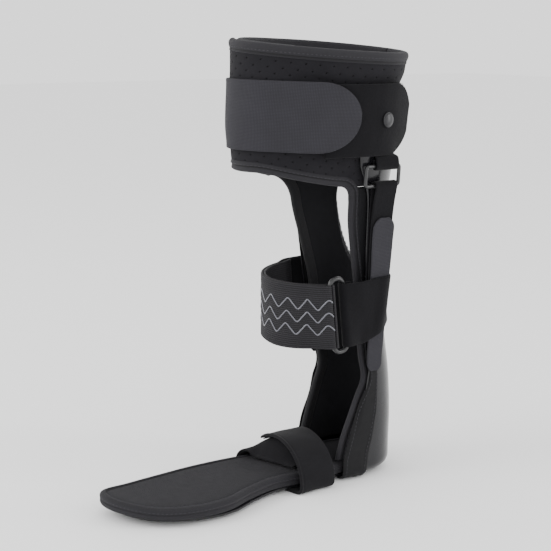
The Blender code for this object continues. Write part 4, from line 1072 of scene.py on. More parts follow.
def band_line(side, end):
    """Points and inward directions of the edge tape, from the flap's free end to the bottom of the heel."""
    pad_out = PAD_OUT - TAPE_PROUD / 2
    outer, inner = [], []
    radius_here = CORNER_RADII[side]
    corner_z = cuff_bottom(CORNER_PHI)
    front = through(LINER_FRONT, corner_z - radius_here) - BAND_REACH
    corner_phi = phi_at(front - radius_here, corner_z, pad_out)
    count = round((abs(end) - corner_phi) / 1.5)
    for k in range(count):
        phi = side * mix(abs(end), corner_phi, k / count)
        z = cuff_bottom(phi)
        lap = cuff_lap(phi) if side == MEDIAL else 0.0
        outer.append(on_leg(phi, z, pad_out - lap + swell(phi, z)))
        inner.append(on_leg(phi, z + BAND_WIDTH, pad_out - lap + swell(phi, z)))
    start_z = cuff_bottom(corner_phi)
    centre = (front - radius_here, start_z - radius_here)
    for k in range(13):
        turn = math.radians(90 - 90 * k / 12)
        for line, radius in ((outer, radius_here), (inner, radius_here + BAND_WIDTH)):
            y = centre[0] + radius * math.cos(turn)
            z = centre[1] + radius * math.sin(turn)
            phi = phi_at(y, z, pad_out)
            point = on_leg(phi, z, pad_out + swell(phi, z))
            line.append(Vector((side * point.x, point.y, z)))
    low = LINER_BOTTOM
    for k in range(1, 91):
        z = mix(start_z - radius_here, low, k / 90)
        for line, reach in ((outer, -BAND_REACH), (inner, BAND_WIDTH - BAND_REACH)):
            y = through(LINER_FRONT, z) + reach
            point = on_leg(phi_at(y, z, pad_out), z, pad_out)
            line.append(Vector((side * point.x, point.y, z)))
    return outer, inner


def make_edge_band(word, side, end, body, hinge, nodes):
    """The tape that binds the cuff's bottom edge and turns down into the liner's front edge."""
    outer, inner = band_line(side, end)
    middle = [a.lerp(b, 0.5) for a, b in zip(outer, inner)]
    marks = lengths_along(middle)

    def place(s, t):
        reach = s * marks[-1]
        index = max(i for i in range(len(marks) - 1) if marks[i] <= reach + 1e-12)
        share = (reach - marks[index]) / (marks[index + 1] - marks[index])
        low = outer[index].lerp(outer[index + 1], share)
        high = inner[index].lerp(inner[index + 1], share)
        return low.lerp(high, t)

    def relief(u, v):
        return (0.0006 * ridge(v, -0.0022, 0.0020) - GROOVE * ridge(v, 0.0004, 0.0008)
                + 0.0005 * ridge(v, 0.0018, 0.0009) - GROOVE * ridge(v, 0.0031, 0.0007))

    bend = hinge_blend(hinge, body)
    # painted shade: the medial side takes the darker copy of the binding tape
    look = "tape" if side == LATERAL else "shaded_tape"
    band = fabric(word + "_edge_tape", place, PAD_THICKNESS + TAPE_PROUD, side, look, step=0.0018,
                  edge=0.0018, relief=relief, row_step=0.0005)
    hang(band, bend, "binding_tape", *nodes)
    line, ups = [], []
    for k, point in enumerate(middle):
        heading = middle[min(k + 1, len(middle) - 1)] - middle[max(k - 1, 0)]
        up = heading.cross(inner[k] - outer[k]).normalized() * side
        line.append(outer[k].lerp(inner[k], 0.66) + up * (PAD_THICKNESS + TAPE_PROUD + 0.0003))
        ups.append(up)
    hang(stitches(word + "_edge_stitches", line, ups), bend, "binding_tape")


def make_liner(window):
    """The padding inside the shell, open at the window."""
    top = CUFF_BOTTOM_SIDE - GAP

    def place(s, t):
        level = mix(LINER_BOTTOM, top, t)
        y = through(LINER_FRONT, level) + 0.002
        reach = phi_at(y, level, PAD_OUT)
        return on_leg(mix(-reach, reach, s), level, PAD_OUT)

    liner = fabric("liner_pad", place, PAD_THICKNESS, -1, "liner", step=0.0030, edge=0.0012, row_step=0.0030)
    combine(liner, "DIFFERENCE", window)
    hang(liner, "brace", "cuff_fabric", "shank_liner")


# ---------- calf strap, loop tab and rivets ----------

def strap_middle(y):
    return CALF_STRAP_MIDDLE + CALF_STRAP_SLOPE * (CUFF_MIDDLE_Y - y)


TAB_OUT = GAP + SIDE_STRAP_THICKNESS + GAP
STRAP_OVER_TAB = TAB_OUT + LOOP_TAB_THICKNESS + 2 * GAP


def calf_strap_out(phi):
    """The strap's inner face: on the shell at the medial side, on the pad in front, on the tab at its tip."""
    on_pad = PAD_OUT + PAD_THICKNESS + TAPE_PROUD + GAP
    on_pad += swell(phi, CALF_STRAP_MIDDLE)
    leaving = mix(TAB_OUT, on_pad, ease(105, 135, -phi))
    tip = 360 - LOOP_TAB_FRONT
    return mix(leaving, STRAP_OVER_TAB, ease(tip - 28, tip - 5, -phi))


def round_end(reach, radius):
    """Half the width left at a distance from a round end."""
    return radius if reach >= radius else math.sqrt(max(radius ** 2 - (radius - reach) ** 2, 0.0))


def make_calf_strap():
    """One strap, anchored under the medial rivet, that leaves the shell at its edge, runs round the pad in front and
    ends over the tab.
    """
    half = CALF_STRAP_WIDTH / 2
    line = Line([on_leg(mix(CALF_STRAP_REAR, CALF_STRAP_TIP, k / 200), CALF_STRAP_MIDDLE,
                        calf_strap_out(mix(CALF_STRAP_REAR, CALF_STRAP_TIP, k / 200))) for k in range(201)])
    tip = 0.0001

    def place(s, t):
        reach = (1 - s) * line.length
        phi = mix(CALF_STRAP_REAR, CALF_STRAP_TIP, s)
        y = on_leg(phi, CALF_STRAP_MIDDLE).y
        height = round_end(reach + tip, half)
        return on_leg(phi, strap_middle(y) + height * (2 * t - 1), calf_strap_out(phi))

    def relief(u, v):
        return 0.00022 * ridge(abs(v), half - 0.0011, 0.0010)

    strap = fabric("calf_hook_strap", place, CALF_STRAP_THICKNESS, 1, "hook", step=0.0011, edge=0.0006,
                   relief=relief, crumple=0.0002)
    hang(strap, hinge_blend(CALF_STRAP_HINGE, "calf_strap_body", 6), "hook_tape", "calf_strap", "calf_strap_anchor")
    measured(place, True)
    for name, inset in (("strap_anchor_stitches_front", 0.052), ("strap_anchor_stitches_rear", 0.020)):
        edge, ups = [], []
        for k in range(21):
            share = inset / line.length
            phi = mix(CALF_STRAP_REAR, CALF_STRAP_TIP, share)
            z = strap_middle(on_leg(phi, CALF_STRAP_MIDDLE).y) + (half - 0.003) * (k / 10 - 1)
            edge.append(on_leg(phi, z, TAB_OUT + CALF_STRAP_THICKNESS + 0.0001))
            ups.append(outward(phi, z))
        hang(stitches(name, edge, ups), "brace", "hook_tape")


def tab_line():
    turns = [mix(LOOP_TAB_FRONT, LOOP_TAB_REAR, k / 40) for k in range(41)]
    wrapped = [on_leg(phi, LOOP_TAB_HEIGHT, TAB_OUT) for phi in turns]
    heading = (wrapped[-1] - wrapped[-2]).normalized()
    line = wrapped + [wrapped[-1] + heading * LOOP_TAB_TAIL * k / 12 for k in range(1, 13)]
    return Line(line), turns


def make_loop_tab():
    """The pile tab that the calf strap presses onto, its round end standing off the shell."""
    half = LOOP_TAB_WIDTH / 2
    line, turns = tab_line()
    wrapped_length = line.marks[len(turns) - 1]

    def place(s, t):
        reach = s * line.length
        height = round_end(line.length - reach + 0.0015, half)
        z = height * (2 * t - 1)
        phi = mix(LOOP_TAB_FRONT, LOOP_TAB_REAR, min(reach / wrapped_length, 1.0))
        return line.at(s) + on_leg(phi, LOOP_TAB_HEIGHT + z) - on_leg(phi, LOOP_TAB_HEIGHT)

    tab = fabric("pile_tab", place, LOOP_TAB_THICKNESS, 1, "pile", step=0.0012, crumple=0.0004)
    hang(tab, "brace", "pile_fabric", "loop_tab")
    rim, out = [], []
    for k in range(81):
        share = k / 80
        if share < 0.3:
            s, t = mix(0.55, 0.985, share / 0.3), 1.0
        elif share < 0.7:
            s, t = 0.995, mix(1.0, 0.0, (share - 0.3) / 0.4)
        else:
            s, t = mix(0.985, 0.55, (share - 0.7) / 0.3), 0.0
        point = place(s, t)
        rim.append(point)
        out.append(point - place(0.6, 0.5))
    hang(fringe("pile_tab_fibres", rim, out, 0.0022, 900, 3), "brace", "pile_fabric")


def make_rivet(name, side, stack, node):
    """A turned rivet: domed head with a rolled rim outside, flat cap inside."""
    phi = side * RIVET_PHI
    head = stack + GAP
    profile = [(0.0, head + 0.0022)]
    for step in range(1, 9):
        turn = math.radians(90 * step / 8)
        profile.append((RIVET_HEAD * 0.86 * math.sin(turn), head + 0.0008 + 0.0014 * math.cos(turn)))
    rim = RIVET_HEAD * 0.93
    for step in range(9):
        turn = math.radians(150 - 240 * step / 8)
        profile.append((rim + 0.00042 * math.cos(turn), head + 0.0005 + 0.00042 * math.sin(turn)))
    profile += [(0.0020, head), (0.0020, -SHELL_THICKNESS), (0.0, -SHELL_THICKNESS)]
    mesh = bpy.data.meshes.new(name)
    shape = bmesh.new()
    verts = [shape.verts.new((radius, 0, height)) for radius, height in profile]
    edges = [shape.edges.new(pair) for pair in zip(verts, verts[1:])]
    bmesh.ops.spin(shape, geom=verts + edges, axis=(0, 0, 1), cent=(0, 0, 0), angle=math.tau, steps=48,
                   use_duplicate=False)
    bmesh.ops.remove_doubles(shape, verts=shape.verts, dist=0.000005)
    bmesh.ops.recalc_face_normals(shape, faces=shape.faces)
    turn = Vector((0, 0, 1)).rotation_difference(outward(phi, RIVET_Z)).to_matrix().to_4x4()
    shape.transform(Matrix.Translation(on_leg(phi, RIVET_Z)) @ turn)
    shape.to_mesh(mesh)
    shape.free()
    obj = link_object(name, mesh, "rivet")
    mesh.set_sharp_from_angle(angle=math.radians(50))
    hang(obj, "brace", "rivet_metal", node)


# ---------- side straps ----------

def rounded_ring(top, bottom, width, corner):
    """A rectangular wire ring between two bars, its corners rounded."""
    down = bottom - top
    height = down.length
    down.normalize()
    along = Vector((1, 0, 0)).cross(down).normalized()
    centre = (top + bottom) / 2
    ring = []
    for quarter, (u, v) in enumerate(((1, 1), (-1, 1), (-1, -1), (1, -1))):
        middle = (u * (width / 2 - corner), v * (height / 2 - corner))
        for p in arc(middle, corner, 90 * quarter, 90 * quarter + 90, 10):
            ring.append(centre + along * p.x - down * p.y)
    return ring


def strap_line_x(z):
    return mix(*SIDE_STRAP_OUT, (z - 0.090) / (SIDE_RING_BOTTOM.z - 0.090))


def strap_line_y(z):
    return mix(0.0235, SIDE_RING_BOTTOM.y, ease(0.080, 0.200, z)) + STRAP_BACK


def side_ribbon(name, line, width, thickness, side, look, hug=None, centre_y=strap_line_y, crumple=0.0, edge=None):
    """A webbing drawn as x and z points, its width along y; hug(z) is how closely it follows the leg."""
    path = Line(smoothed(line))

    def place(s, t):
        x, z = path.at(s)
        y = centre_y(z) + width(s, z) * (t - 0.5)
        if hug:
            x = mix(x, side_x(y, z, GAP), hug(z))
        return Vector((side * x, y, z))

    return fabric(name, place, thickness, side, look, step=0.0010, crumple=crumple, edge=edge)


def make_side_strap(side, word):
    """Upper webbing loop, wire ring, folded strap and hook tab on one side."""
    ring_x, ring_z = SIDE_RING_TOP.x, SIDE_RING_TOP.z
    bend = SIDE_RING_WIRE + GAP
    hang_down = [Vector((ring_x, z)) for z in (0.279, 0.272, 0.265, 0.258, 0.250, 0.2412)]
    hang_down += [Vector((ring_x + 0.0010, 0.2392)), Vector((ring_x + bend - 0.0001, 0.2365))]
    turn = arc((ring_x, ring_z), bend, 0, -180, 12)
    back = [Vector((ring_x - bend + 0.0005, 0.2362)), Vector((ring_x - bend + 0.0012, 0.2384))]
    loop = side_ribbon(word + "_upper_webbing", hang_down + turn + back, lambda s, z: SIDE_STRAP_WIDTH,
                       SIDE_STRAP_THICKNESS, side, "pile", hug=lambda z: ease(0.2392, 0.2420, z),
                       centre_y=lambda z: SIDE_RING_TOP.y + STRAP_BACK)
    hang(loop, "brace", "pile_fabric", word + "_webbing_loop")
    loop_length = lengths_along(hang_down + turn + back)[-1]

    ring = [Vector((side * p.x, p.y, p.z)) for p in
            rounded_ring(SIDE_RING_TOP, SIDE_RING_BOTTOM, SIDE_RING_WIDTH, SIDE_RING_CORNER)]
    hang(wire(word + "_wire_ring", ring, SIDE_RING_WIRE, "wire", cyclic=True, up=[Vector((1, 0, 0))] * len(ring)),
         word + "_ring_body", "black_wire", word + "_ring")

    low_x, low_z = SIDE_RING_BOTTOM.x, SIDE_RING_BOTTOM.z
    thick = SIDE_STRAP_THICKNESS
    inner = [Vector((strap_line_x(z) - 2 * thick - HOOK_TAB_THICKNESS - GAP, z))
             for z in (0.121, 0.140, 0.160, 0.180, 0.200)]
    roomy = SIDE_RING_WIRE + RING_SWING_ROOM
    over = [Vector((low_x - roomy, low_z - 0.004))] + arc((low_x, low_z), roomy, 180, 0, 12)
    outer = [Vector((strap_line_x(z) - thick - HOOK_TAB_THICKNESS, z)) for z in (0.205, 0.180, 0.155, 0.130)]

    def narrowing(s, z):
        return mix(SIDE_STRAP_LOW_WIDTH, SIDE_STRAP_WIDTH - 0.001, ease(0.130, 0.200, z))

    strap = side_ribbon(word + "_folded_strap", inner + over + outer, narrowing, thick, side, "pile")
    hang(strap, "brace", "pile_fabric", word + "_side_strap")
    lengths_along(inner + over + outer)[-1]

    length = HOOK_TAB_TOP - HOOK_TAB_BOTTOM

    def taper(s, z):
        near = min(s, 1 - s) * length + 0.0008
        return 2 * round_end(near, mix(*HOOK_TAB_WIDTHS, s) / 2)

    tab = []
    for k in range(30):
        z = mix(HOOK_TAB_TOP, HOOK_TAB_BOTTOM, k / 29)
        over_stirrup = side_x(strap_line_y(z) + TAB_BACK, z, STIRRUP_THICKNESS + 2.5 * GAP)
        tab.append(Vector((max(strap_line_x(z) - HOOK_TAB_THICKNESS + GAP, over_stirrup), z)))
    made = side_ribbon(word + "_tapered_tab", tab, taper, HOOK_TAB_THICKNESS, side, "hook", crumple=0.0002,
                       edge=0.0005, centre_y=lambda z: strap_line_y(z) + TAB_BACK)
    hang(made, "brace", "hook_tape", word + "_hook_tab")


# ---------- stirrup strap under the heel ----------

def under_heel(reach, y, out):
    """x and z at a distance from the middle, going out under the heel and up the shell's side."""
    flat = side_x(y, HEEL_ROUNDING) - HEEL_ROUNDING + STIRRUP_TIGHTER
    bend = HEEL_ROUNDING + out - STIRRUP_TIGHTER
    if reach < flat:
        return reach, -out
    angle = (reach - flat) / bend
    if angle < math.pi / 2:
        return flat + bend * math.sin(angle), bend * (1 - math.cos(angle)) - out
    z = bend - out + reach - flat - bend * math.pi / 2
    return side_x(y, z, out), z


def stirrup_point(s, t):
    share = 2 * s - 1
    side = 1 if share >= 0 else -1
    reach = abs(share) * (STIRRUP_TOP + 0.0260)
    z = max(reach - 0.030, 0.0)
    front = through(LINER_FRONT, max(z, LINER_FRONT[0][0])) - 0.001
    y = mix(front, through(STIRRUP_REAR, z), t)
    x, height = under_heel(reach, y, GAP)
    shell_edge = through(SHELL_FRONT, height)
    tuck = STIRRUP_TUCK * ease(0.030, 0.055, height) * (1 - ease(shell_edge - 0.004, shell_edge, y))
    return Vector((side * (x - tuck), y, height))


def make_stirrup():
    def relief(u, v):
        return 0.0003 * ridge(abs(v), 0.0078, 0.0008)

    strap = fabric("heel_stirrup", stirrup_point, STIRRUP_THICKNESS, -1, "stirrup", step=0.0016, relief=relief,
                   row_step=0.0007, crumple=0.0002)
    hang(strap, "brace", "binding_tape", "stirrup_strap")
    measured(stirrup_point, False)
    measured(stirrup_point, True)
    for side, word in ((LATERAL, "lateral"), (MEDIAL, "medial")):
        for edge_name, t in (("front", 0.14), ("rear", 0.86)):
            line, ups = [], []
            for k in range(61):
                s = 0.5 + side * mix(0.12, 0.49, k / 60)
                along = stirrup_point(s + 0.002, t) - stirrup_point(s - 0.002, t)
                across = stirrup_point(s, t + 0.02) - stirrup_point(s, t - 0.02)
                up = -along.cross(across).normalized()
                line.append(stirrup_point(s, t) + up * (STIRRUP_THICKNESS + 0.0001))
                ups.append(up)
            name = "_".join((word, "stirrup", edge_name, "stitches"))
            hang(stitches(name, line, ups), "brace", "binding_tape")


# ---------- ankle strap ----------

def ankle_height(x, y, share):
    width = ANKLE_WIDTH - ANKLE_BACK_RISE * ease(0.012, 0.040, y)
    width -= ANKLE_FRONT_RISE * ease(-0.010, 0.030, -x) * ease(0.0, 0.020, -y)
    return ANKLE_TOP + ANKLE_SLOPE * (y - x) - width * (1 - share)


def near_ring(x, y):
    """1 in the ring, falling to 0 a little way along the strap."""
    return 1 - ease(0.012, 0.030, abs(y - ANKLE_RING_CENTRE.y)) if x > 0 else 0.0


def ankle_lean(y):
    return mix(ANKLE_LEAN * ease(-0.006, 0.010, y), ANKLE_BACK_LEAN, ease(0.031, 0.048, y))


def ankle_place(line, low=0.0, high=1.0):
    """place(s, t) of a band along a level line, between two shares of the strap's width."""
    path = Line(line)

    def place(s, t):
        point = path.at(s)
        share = mix(low, high, t)
        near = near_ring(point.x, point.y)
        z = mix(ankle_height(point.x, point.y, share), ANKLE_RING_CENTRE.z + (share - 0.5) * WIDTH_IN_RING, near)
        rise = z - ANKLE_RING_CENTRE.z
        out = Vector((point.x, point.y - ANKLE_LOOP.z)).normalized() * ankle_lean(point.y) * rise
        return Vector((point.x + out.x, point.y + out.y - math.tan(ANKLE_RING_TILT) * rise * near, z))

    return place, path


def ankle_arc(out, start, end, steps):
    points = []
    for step in range(steps + 1):
        angle = math.radians(mix(start, end, step / steps))
        points.append(Vector(((ANKLE_LOOP.x + out) * math.cos(angle),
                              ANKLE_LOOP.z - (ANKLE_LOOP.y + out) * math.sin(angle))))
    return points


def ring_leg(sign):
    return Vector((ANKLE_RING_CENTRE.x + 0.0004 * sign, ANKLE_RING_CENTRE.y + sign * ANKLE_RING_WIDTH / 2))


def shifted(line, distance):
    """A level line moved sideways, to the right of its direction for a positive distance."""
    moved = []
    for index, point in enumerate(line):
        along = line[min(index + 1, len(line) - 1)] - line[max(index - 1, 0)]
        moved.append(point + Vector((along.y, -along.x)).normalized() * distance)
    return moved


def rib_relief(u, v):
    """Cords along the elastic, bolder beside its two edges."""
    bold = 1.0 + 0.7 * ease(0.0150, 0.0175, abs(v))
    return RIB_HEIGHT * bold * math.cos(math.tau * v / RIB_PITCH)


def make_silicone_waves(place, side, body):
    """Three wavy lines of silicone on the elastic's outer face."""
    length = measured(place, True)
    for line, word in enumerate(("lower", "middle", "upper")):
        points, ups = [], []
        steps = 360
        for k in range(steps + 1):
            s = mix(0.004, 0.80, k / steps)
            phase = math.tau * s * length / WAVE_PITCH + 0.35 * (line - 1)
            swing = WAVE_SWING * (math.sin(phase) - math.sin(3 * phase) / 14)
            t = 0.5 + ((line - 1) * WAVE_SPACING + swing) / ANKLE_WIDTH
            along = place(s + 0.002, t) - place(s - 0.002, t)
            across = place(s, t + 0.01) - place(s, t - 0.01)
            up = along.cross(across).normalized() * side
            points.append(place(s, t) + up * (ELASTIC_THICKNESS + 0.00015))
            ups.append(up)
        bead = wire("silicone_wave_" + word, points, 0.00056, "silicone", flat=0.6, up=ups)
        hang(bead, body, "elastic_webbing")


def make_ankle_strap():
    rear, front = ring_leg(1), ring_leg(-1)
    bend = ANKLE_RING_WIRE + 2 * GAP
    hem = [Vector((rear.x - bend, rear.y + reach)) for reach in (0.0080, 0.0040)]
    turn = arc(rear, bend, 180, 360, 14)
    round_back = [Vector(p) for p in ANKLE_BACK]
    medial_side = [Vector((-p.x, p.y)) for p in reversed(round_back[1:-1])]
    medial_end = Vector((-ANKLE_LOOP.x - ELASTIC_THICKNESS - 2 * GAP, 0.0030))
    round_leg = spline_points([turn[-1] + Vector((0, 0.001))] + round_back + medial_side + [medial_end], 8)
    place, _ = ankle_place(hem + turn + round_leg)
    pile = fabric("ankle_back_strap", place, PILE_THICKNESS, 1, "pile", step=0.0014, crumple=0.0003)
    hang(pile, "brace", "pile_fabric", "ankle_pile_strap")
    measured(place, True)
    rims, outs = [], []
    for edge, way in ((0.0, -1), (1.0, 1)):
        for k in range(60):
            rims.append(place(mix(0.06, 0.5, k / 59), edge))
            outs.append(Vector((0.3, 0, way)))
    hang(fringe("ankle_strap_fibres", rims, outs, 0.0011, 700, 5), "brace", "pile_fabric")

    bend = ANKLE_RING_WIRE + ELASTIC_THICKNESS + GAP
    inner_run = ankle_arc(0.0, 178, 58, 40)
    inner_end = spline_points([inner_run[-1], Vector((0.0290, -0.0215)), Vector((front.x - bend, front.y - 0.002))], 8)
    fold = arc(front, bend, 180, 4, 14)
    place, _ = ankle_place(inner_run + inner_end[1:] + fold)
    inner = fabric("ankle_elastic_lining", place, ELASTIC_THICKNESS, 1, "elastic", step=0.0020, relief=rib_relief,
                   row_step=RIB_PITCH / 4, edge=0.0006)
    hang(inner, "brace", "elastic_webbing", "ankle_elastic_inner")
    measured(place, True)

    start = Vector((front.x + ANKLE_RING_WIRE + GAP, front.y - GAP))
    outer_run = ankle_arc(ELASTIC_THICKNESS + GAP, 48, 160, 40)
    approach = spline_points([start, Vector((0.0372, -0.0205)), outer_run[0]], 8)[:-1]
    clearance = PILE_THICKNESS + HOOK_PATCH_THICKNESS + 3 * GAP
    landing = spline_points([outer_run[-1]] + [Vector((-x - clearance, y)) for x, y in ANKLE_LANDING], 8)[1:]
    outer_line = approach + outer_run + landing
    place, path = ankle_place(outer_line)
    outer = fabric("ankle_elastic_front", place, ELASTIC_THICKNESS, -1, "elastic", step=0.0016, relief=rib_relief,
                   row_step=RIB_PITCH / 4, edge=0.0006)
    hang(outer, "ankle_strap_body", "elastic_webbing", "ankle_elastic_outer")
    make_silicone_waves(place, -1, "ankle_strap_body")

    count = sum(1 for mark in path.marks if mark > path.length - 0.026)
    patch_line = shifted(outer_line, HOOK_PATCH_THICKNESS + GAP)[-count:]
    patch_place, _ = ankle_place(patch_line, 0.08, 0.92)
    patch = fabric("ankle_hook_end", patch_place, HOOK_PATCH_THICKNESS, -1, "hook", step=0.0014, edge=0.0003)
    hang(patch, "ankle_strap_body", "hook_tape", "ankle_hook_patch")
    measured(patch_place, False)
    measured(patch_place, True)

    up = Vector((0, -math.sin(ANKLE_RING_TILT), math.cos(ANKLE_RING_TILT)))
    half = up * ANKLE_RING_LENGTH / 2
    ring = rounded_ring(ANKLE_RING_CENTRE + half, ANKLE_RING_CENTRE - half, ANKLE_RING_WIDTH, ANKLE_RING_CORNER)
    made = wire("ankle_wire_ring", ring, ANKLE_RING_WIRE, "wire", cyclic=True, up=[Vector((1, 0, 0))] * len(ring))
    hang(made, "brace", "black_wire", "ankle_ring")


# ---------- instep strap ----------

def instep_arch(reach, crest, steps, start, end):
    """Points of the arch over the instep; angle 0 at the lateral side, 180 at the medial."""
    points = []
    for step in range(steps + 1):
        angle = math.radians(mix(start, end, step / steps))
        power = LATERAL_ROUNDNESS if angle < math.pi / 2 else MEDIAL_ROUNDNESS
        across = math.copysign(abs(math.cos(angle)) ** power, math.cos(angle))
        rise = (crest - INSTEP_CORNER) * math.sin(angle) ** power
        points.append(Vector((reach * across, INSTEP_CORNER + rise)))
    return points


def instep_place(line, middle, width=INSTEP_WIDTH, rest=None):
    path = Line(line)

    def place(s, t):
        x, z = path.at(s)
        y = middle(x, z) + width * (t - 0.5)
        if rest is not None and z > rest:
            z = mix(z, rest, ease(-0.0300, -0.0160, x) * (1 - ease(0.0, 0.5, t)))
        return Vector((x, y, z))

    return place, path


def make_instep_strap():
    """Two flaps that start under the sole: the lower from the medial side, the upper over it from the lateral."""
    corner = INSTEP_CORNER
    flat = INSTEP_SIDE - corner

    def base_middle(x):
        return mix(MEDIAL_END_Y, INSTEP_MIDDLE_Y, (x + INSTEP_SIDE) / (2 * INSTEP_SIDE))

    def upper_middle(x, z):
        above = INSTEP_MIDDLE_Y + INSTEP_SLANT * (INSTEP_SIDE - x)
        return mix(base_middle(x), above, ease(0.0, 0.006, z))

    def lower_middle(x, z):
        above = MEDIAL_END_Y + LOWER_FLAP_SLANT * (x + INSTEP_SIDE)
        return mix(base_middle(x), above, ease(0.0, 0.006, z))

    def edge_cord(u, v):
        return 0.0005 * ridge(v, -INSTEP_WIDTH / 2 + 0.0012, 0.0011) - 0.0002 * ridge(v, -INSTEP_WIDTH / 2 + 0.003, 0.001)

    under = [Vector((flat * k / 8, -GAP)) for k in range(9)]
    lateral_turn = arc((flat, corner - GAP), corner, -90, -4, 8)[1:]
    upper = instep_arch(INSTEP_SIDE, INSTEP_CREST, 60, 0, 130)
    place, path = instep_place(under + lateral_turn + upper[1:], upper_middle)
    made = fabric("instep_over_strap", place, INSTEP_THICKNESS, -1, "instep", step=0.0014, relief=edge_cord,
                  row_step=0.0006, crumple=0.0004)
    bend = ("brace", "instep_upper_body", PLACE + Vector((INSTEP_SIDE, 0, 0.0015)), PLACE + Vector((INSTEP_SIDE, 0, 0.0105)))
    hang(made, bend, "pile_fabric", "instep_upper_flap", "instep_strap_base")

    patch_line = shifted(upper, -HOOK_PATCH_THICKNESS - GAP)[-22:]
    patch_place, _ = instep_place(patch_line, upper_middle, INSTEP_WIDTH - 0.004)
    patch = fabric("instep_hook_end", patch_place, HOOK_PATCH_THICKNESS, -1, "hook", edge=0.0003)
    hang(patch, "instep_upper_body", "hook_tape", "instep_hook_patch")
    measured(patch_place, True)

    step_in = INSTEP_THICKNESS + HOOK_PATCH_THICKNESS + 2 * GAP
    rising = instep_arch(INSTEP_SIDE, INSTEP_CREST, 50, 180, 80)
    lower = [point.lerp(inside, ease(6, 19, index))
             for index, (point, inside) in enumerate(zip(rising, shifted(rising, step_in)))]
    tail = spline_points([lower[-1], Vector((0.0120, 0.0225)), Vector((0.0185, 0.0160))], 8)[1:]
    medial_turn = [Vector((-p.x, p.y)) for p in lateral_turn]
    start = [Vector((-p.x - 0.0004, p.y)) for p in under]
    whole = start + medial_turn + lower[1:] + tail
    place, path = instep_place(whole, lower_middle, LOWER_FLAP_WIDTH, FLAP_REST)
    made = fabric("instep_under_strap", place, INSTEP_THICKNESS, 1, "instep", step=0.0014, row_step=0.0008,
                  crumple=0.0004)
    side = Vector((-INSTEP_SIDE, 0, 0))
    bend = ("brace", "instep_lower_body", PLACE + side + Vector((0, 0, 0.0015)), PLACE + side + Vector((0, 0, 0.0105)))
    hang(made, bend, "pile_fabric", "instep_lower_flap")


# ---------- studio ----------

def add_light(name, kind, energy, location, target, size=1.0, size_y=None):
    data = bpy.data.lights.new(name, kind)
    data.energy = energy
    if kind == "AREA":
        data.shape = "RECTANGLE"
        data.size = size
        data.size_y = size_y or size
    obj = bpy.data.objects.new(name, data)
    obj.location = location
    obj.rotation_mode = "QUATERNION"
    obj.rotation_quaternion = (Vector(target) - Vector(location)).to_track_quat("-Z", "Y")
    bpy.context.scene.collection.objects.link(obj)
    return obj


def make_camera():
    """Level with the calf, in front and to the outer side, looking a little down."""
    azimuth, distance, height = math.radians(52.532), 0.8932, 0.3297
    pitch, roll, pan = math.radians(11.402), math.radians(0.261), math.radians(1.981)
    data = bpy.data.cameras.new("camera")
    data.sensor_width = 36
    data.lens = 36 * 1236.6 / 551
    data.clip_start = 0.01
    camera = bpy.data.objects.new("camera", data)
    bpy.context.scene.collection.objects.link(camera)
    place = Vector((math.sin(azimuth) * distance, -math.cos(azimuth) * distance, height)) + PLACE
    heading = Vector((-math.sin(azimuth), math.cos(azimuth), 0))
    heading.rotate(Matrix.Rotation(pan, 3, "Z"))
    up = Vector((0, 0, 1))
    forward = heading * math.cos(pitch) - up * math.sin(pitch)
    right = heading.cross(up).normalized()
    above = right.cross(forward)
    turned = right * math.cos(roll) + above * math.sin(roll)
    top = -right * math.sin(roll) + above * math.cos(roll)
    rotation = Matrix((turned, top, -forward)).transposed().to_4x4()
    camera.matrix_world = Matrix.Translation(place) @ rotation
    bpy.context.scene.camera = camera


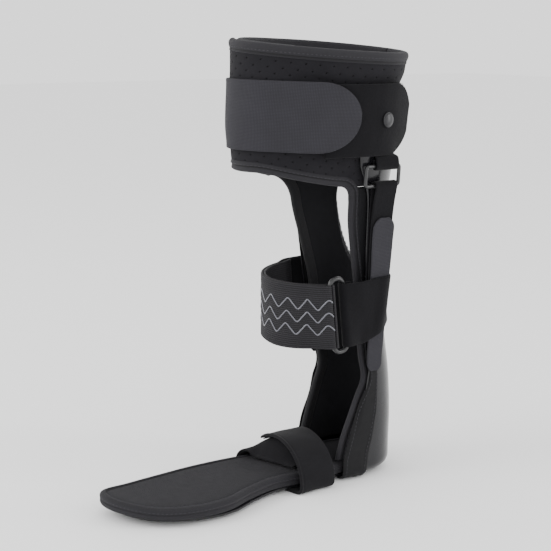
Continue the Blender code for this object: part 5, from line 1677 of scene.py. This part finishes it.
def make_studio():
    mesh = bpy.data.meshes.new("floor")
    shape = bmesh.new()
    bmesh.ops.create_grid(shape, x_segments=1, y_segments=1, size=6.0)
    shape.to_mesh(mesh)
    shape.free()
    floor = bpy.data.objects.new("floor", mesh)
    floor.location.z = -0.0004
    bpy.context.scene.collection.objects.link(floor)
    material = bpy.data.materials.new("floor")
    material.use_nodes = True
    shader = material.node_tree.nodes["Principled BSDF"]
    shader.inputs["Base Color"].default_value = (0.93, 0.93, 0.93, 1)
    shader.inputs["Roughness"].default_value = 0.9
    mesh.materials.append(material)
    world = bpy.data.worlds.new("studio")
    world.use_nodes = True
    world.node_tree.nodes["Background"].inputs["Color"].default_value = (1.0, 1.0, 1.0, 1)
    world.node_tree.nodes["Background"].inputs["Strength"].default_value = 1.6
    bpy.context.scene.world = world
    target = (0.0, 0.05, 0.16)
    add_light("key", "AREA", 16, (-0.5, -1.5, 1.1), target, 0.9)
    add_light("fill", "AREA", 4, (1.5, -0.7, 0.9), target, 0.9)
    add_light("rim", "AREA", 7, (1.0, 1.1, 0.6), target, 0.25, 1.2)


# ---------- assembly ----------

make_camera()
make_studio()
window_cutter = make_window_cutter()
make_shell(window_cutter)
make_liner(window_cutter)
bpy.data.objects.remove(window_cutter)
make_insole()
make_cuff_side("outer", LATERAL, OUTER_FLAP_END, "outer_flap_body", OUTER_FLAP_HINGE,
               {"pad": ("cuff_back", "cuff_outer_flap"), "top": ("cuff_back_top_tape", "cuff_outer_flap_top_tape")})
make_cuff_side("inner", MEDIAL, INNER_FLAP_END, "inner_flap_body", INNER_FLAP_HINGE,
               {"pad": ("cuff_inner_flap",), "top": ("cuff_inner_flap_top_tape",)})
make_edge_band("lateral", LATERAL, OUTER_FLAP_END, "outer_flap_body", OUTER_FLAP_HINGE,
               ("cuff_outer_flap_bottom_tape", "cuff_back_bottom_tape", "lateral_piping"))
make_edge_band("medial", MEDIAL, INNER_FLAP_END, "inner_flap_body", INNER_FLAP_HINGE,
               ("cuff_inner_flap_bottom_tape", "medial_piping"))
make_calf_strap()
make_loop_tab()
make_rivet("lateral_rivet_head", LATERAL, TAB_OUT + LOOP_TAB_THICKNESS, "lateral_rivet")
make_rivet("medial_rivet_head", MEDIAL, TAB_OUT + CALF_STRAP_THICKNESS, "medial_rivet")
for strap_side, strap_word in ((LATERAL, "lateral"), (MEDIAL, "medial")):
    make_side_strap(strap_side, strap_word)
make_stirrup()
make_ankle_strap()
make_instep_strap()

bpy.context.view_layer.update()
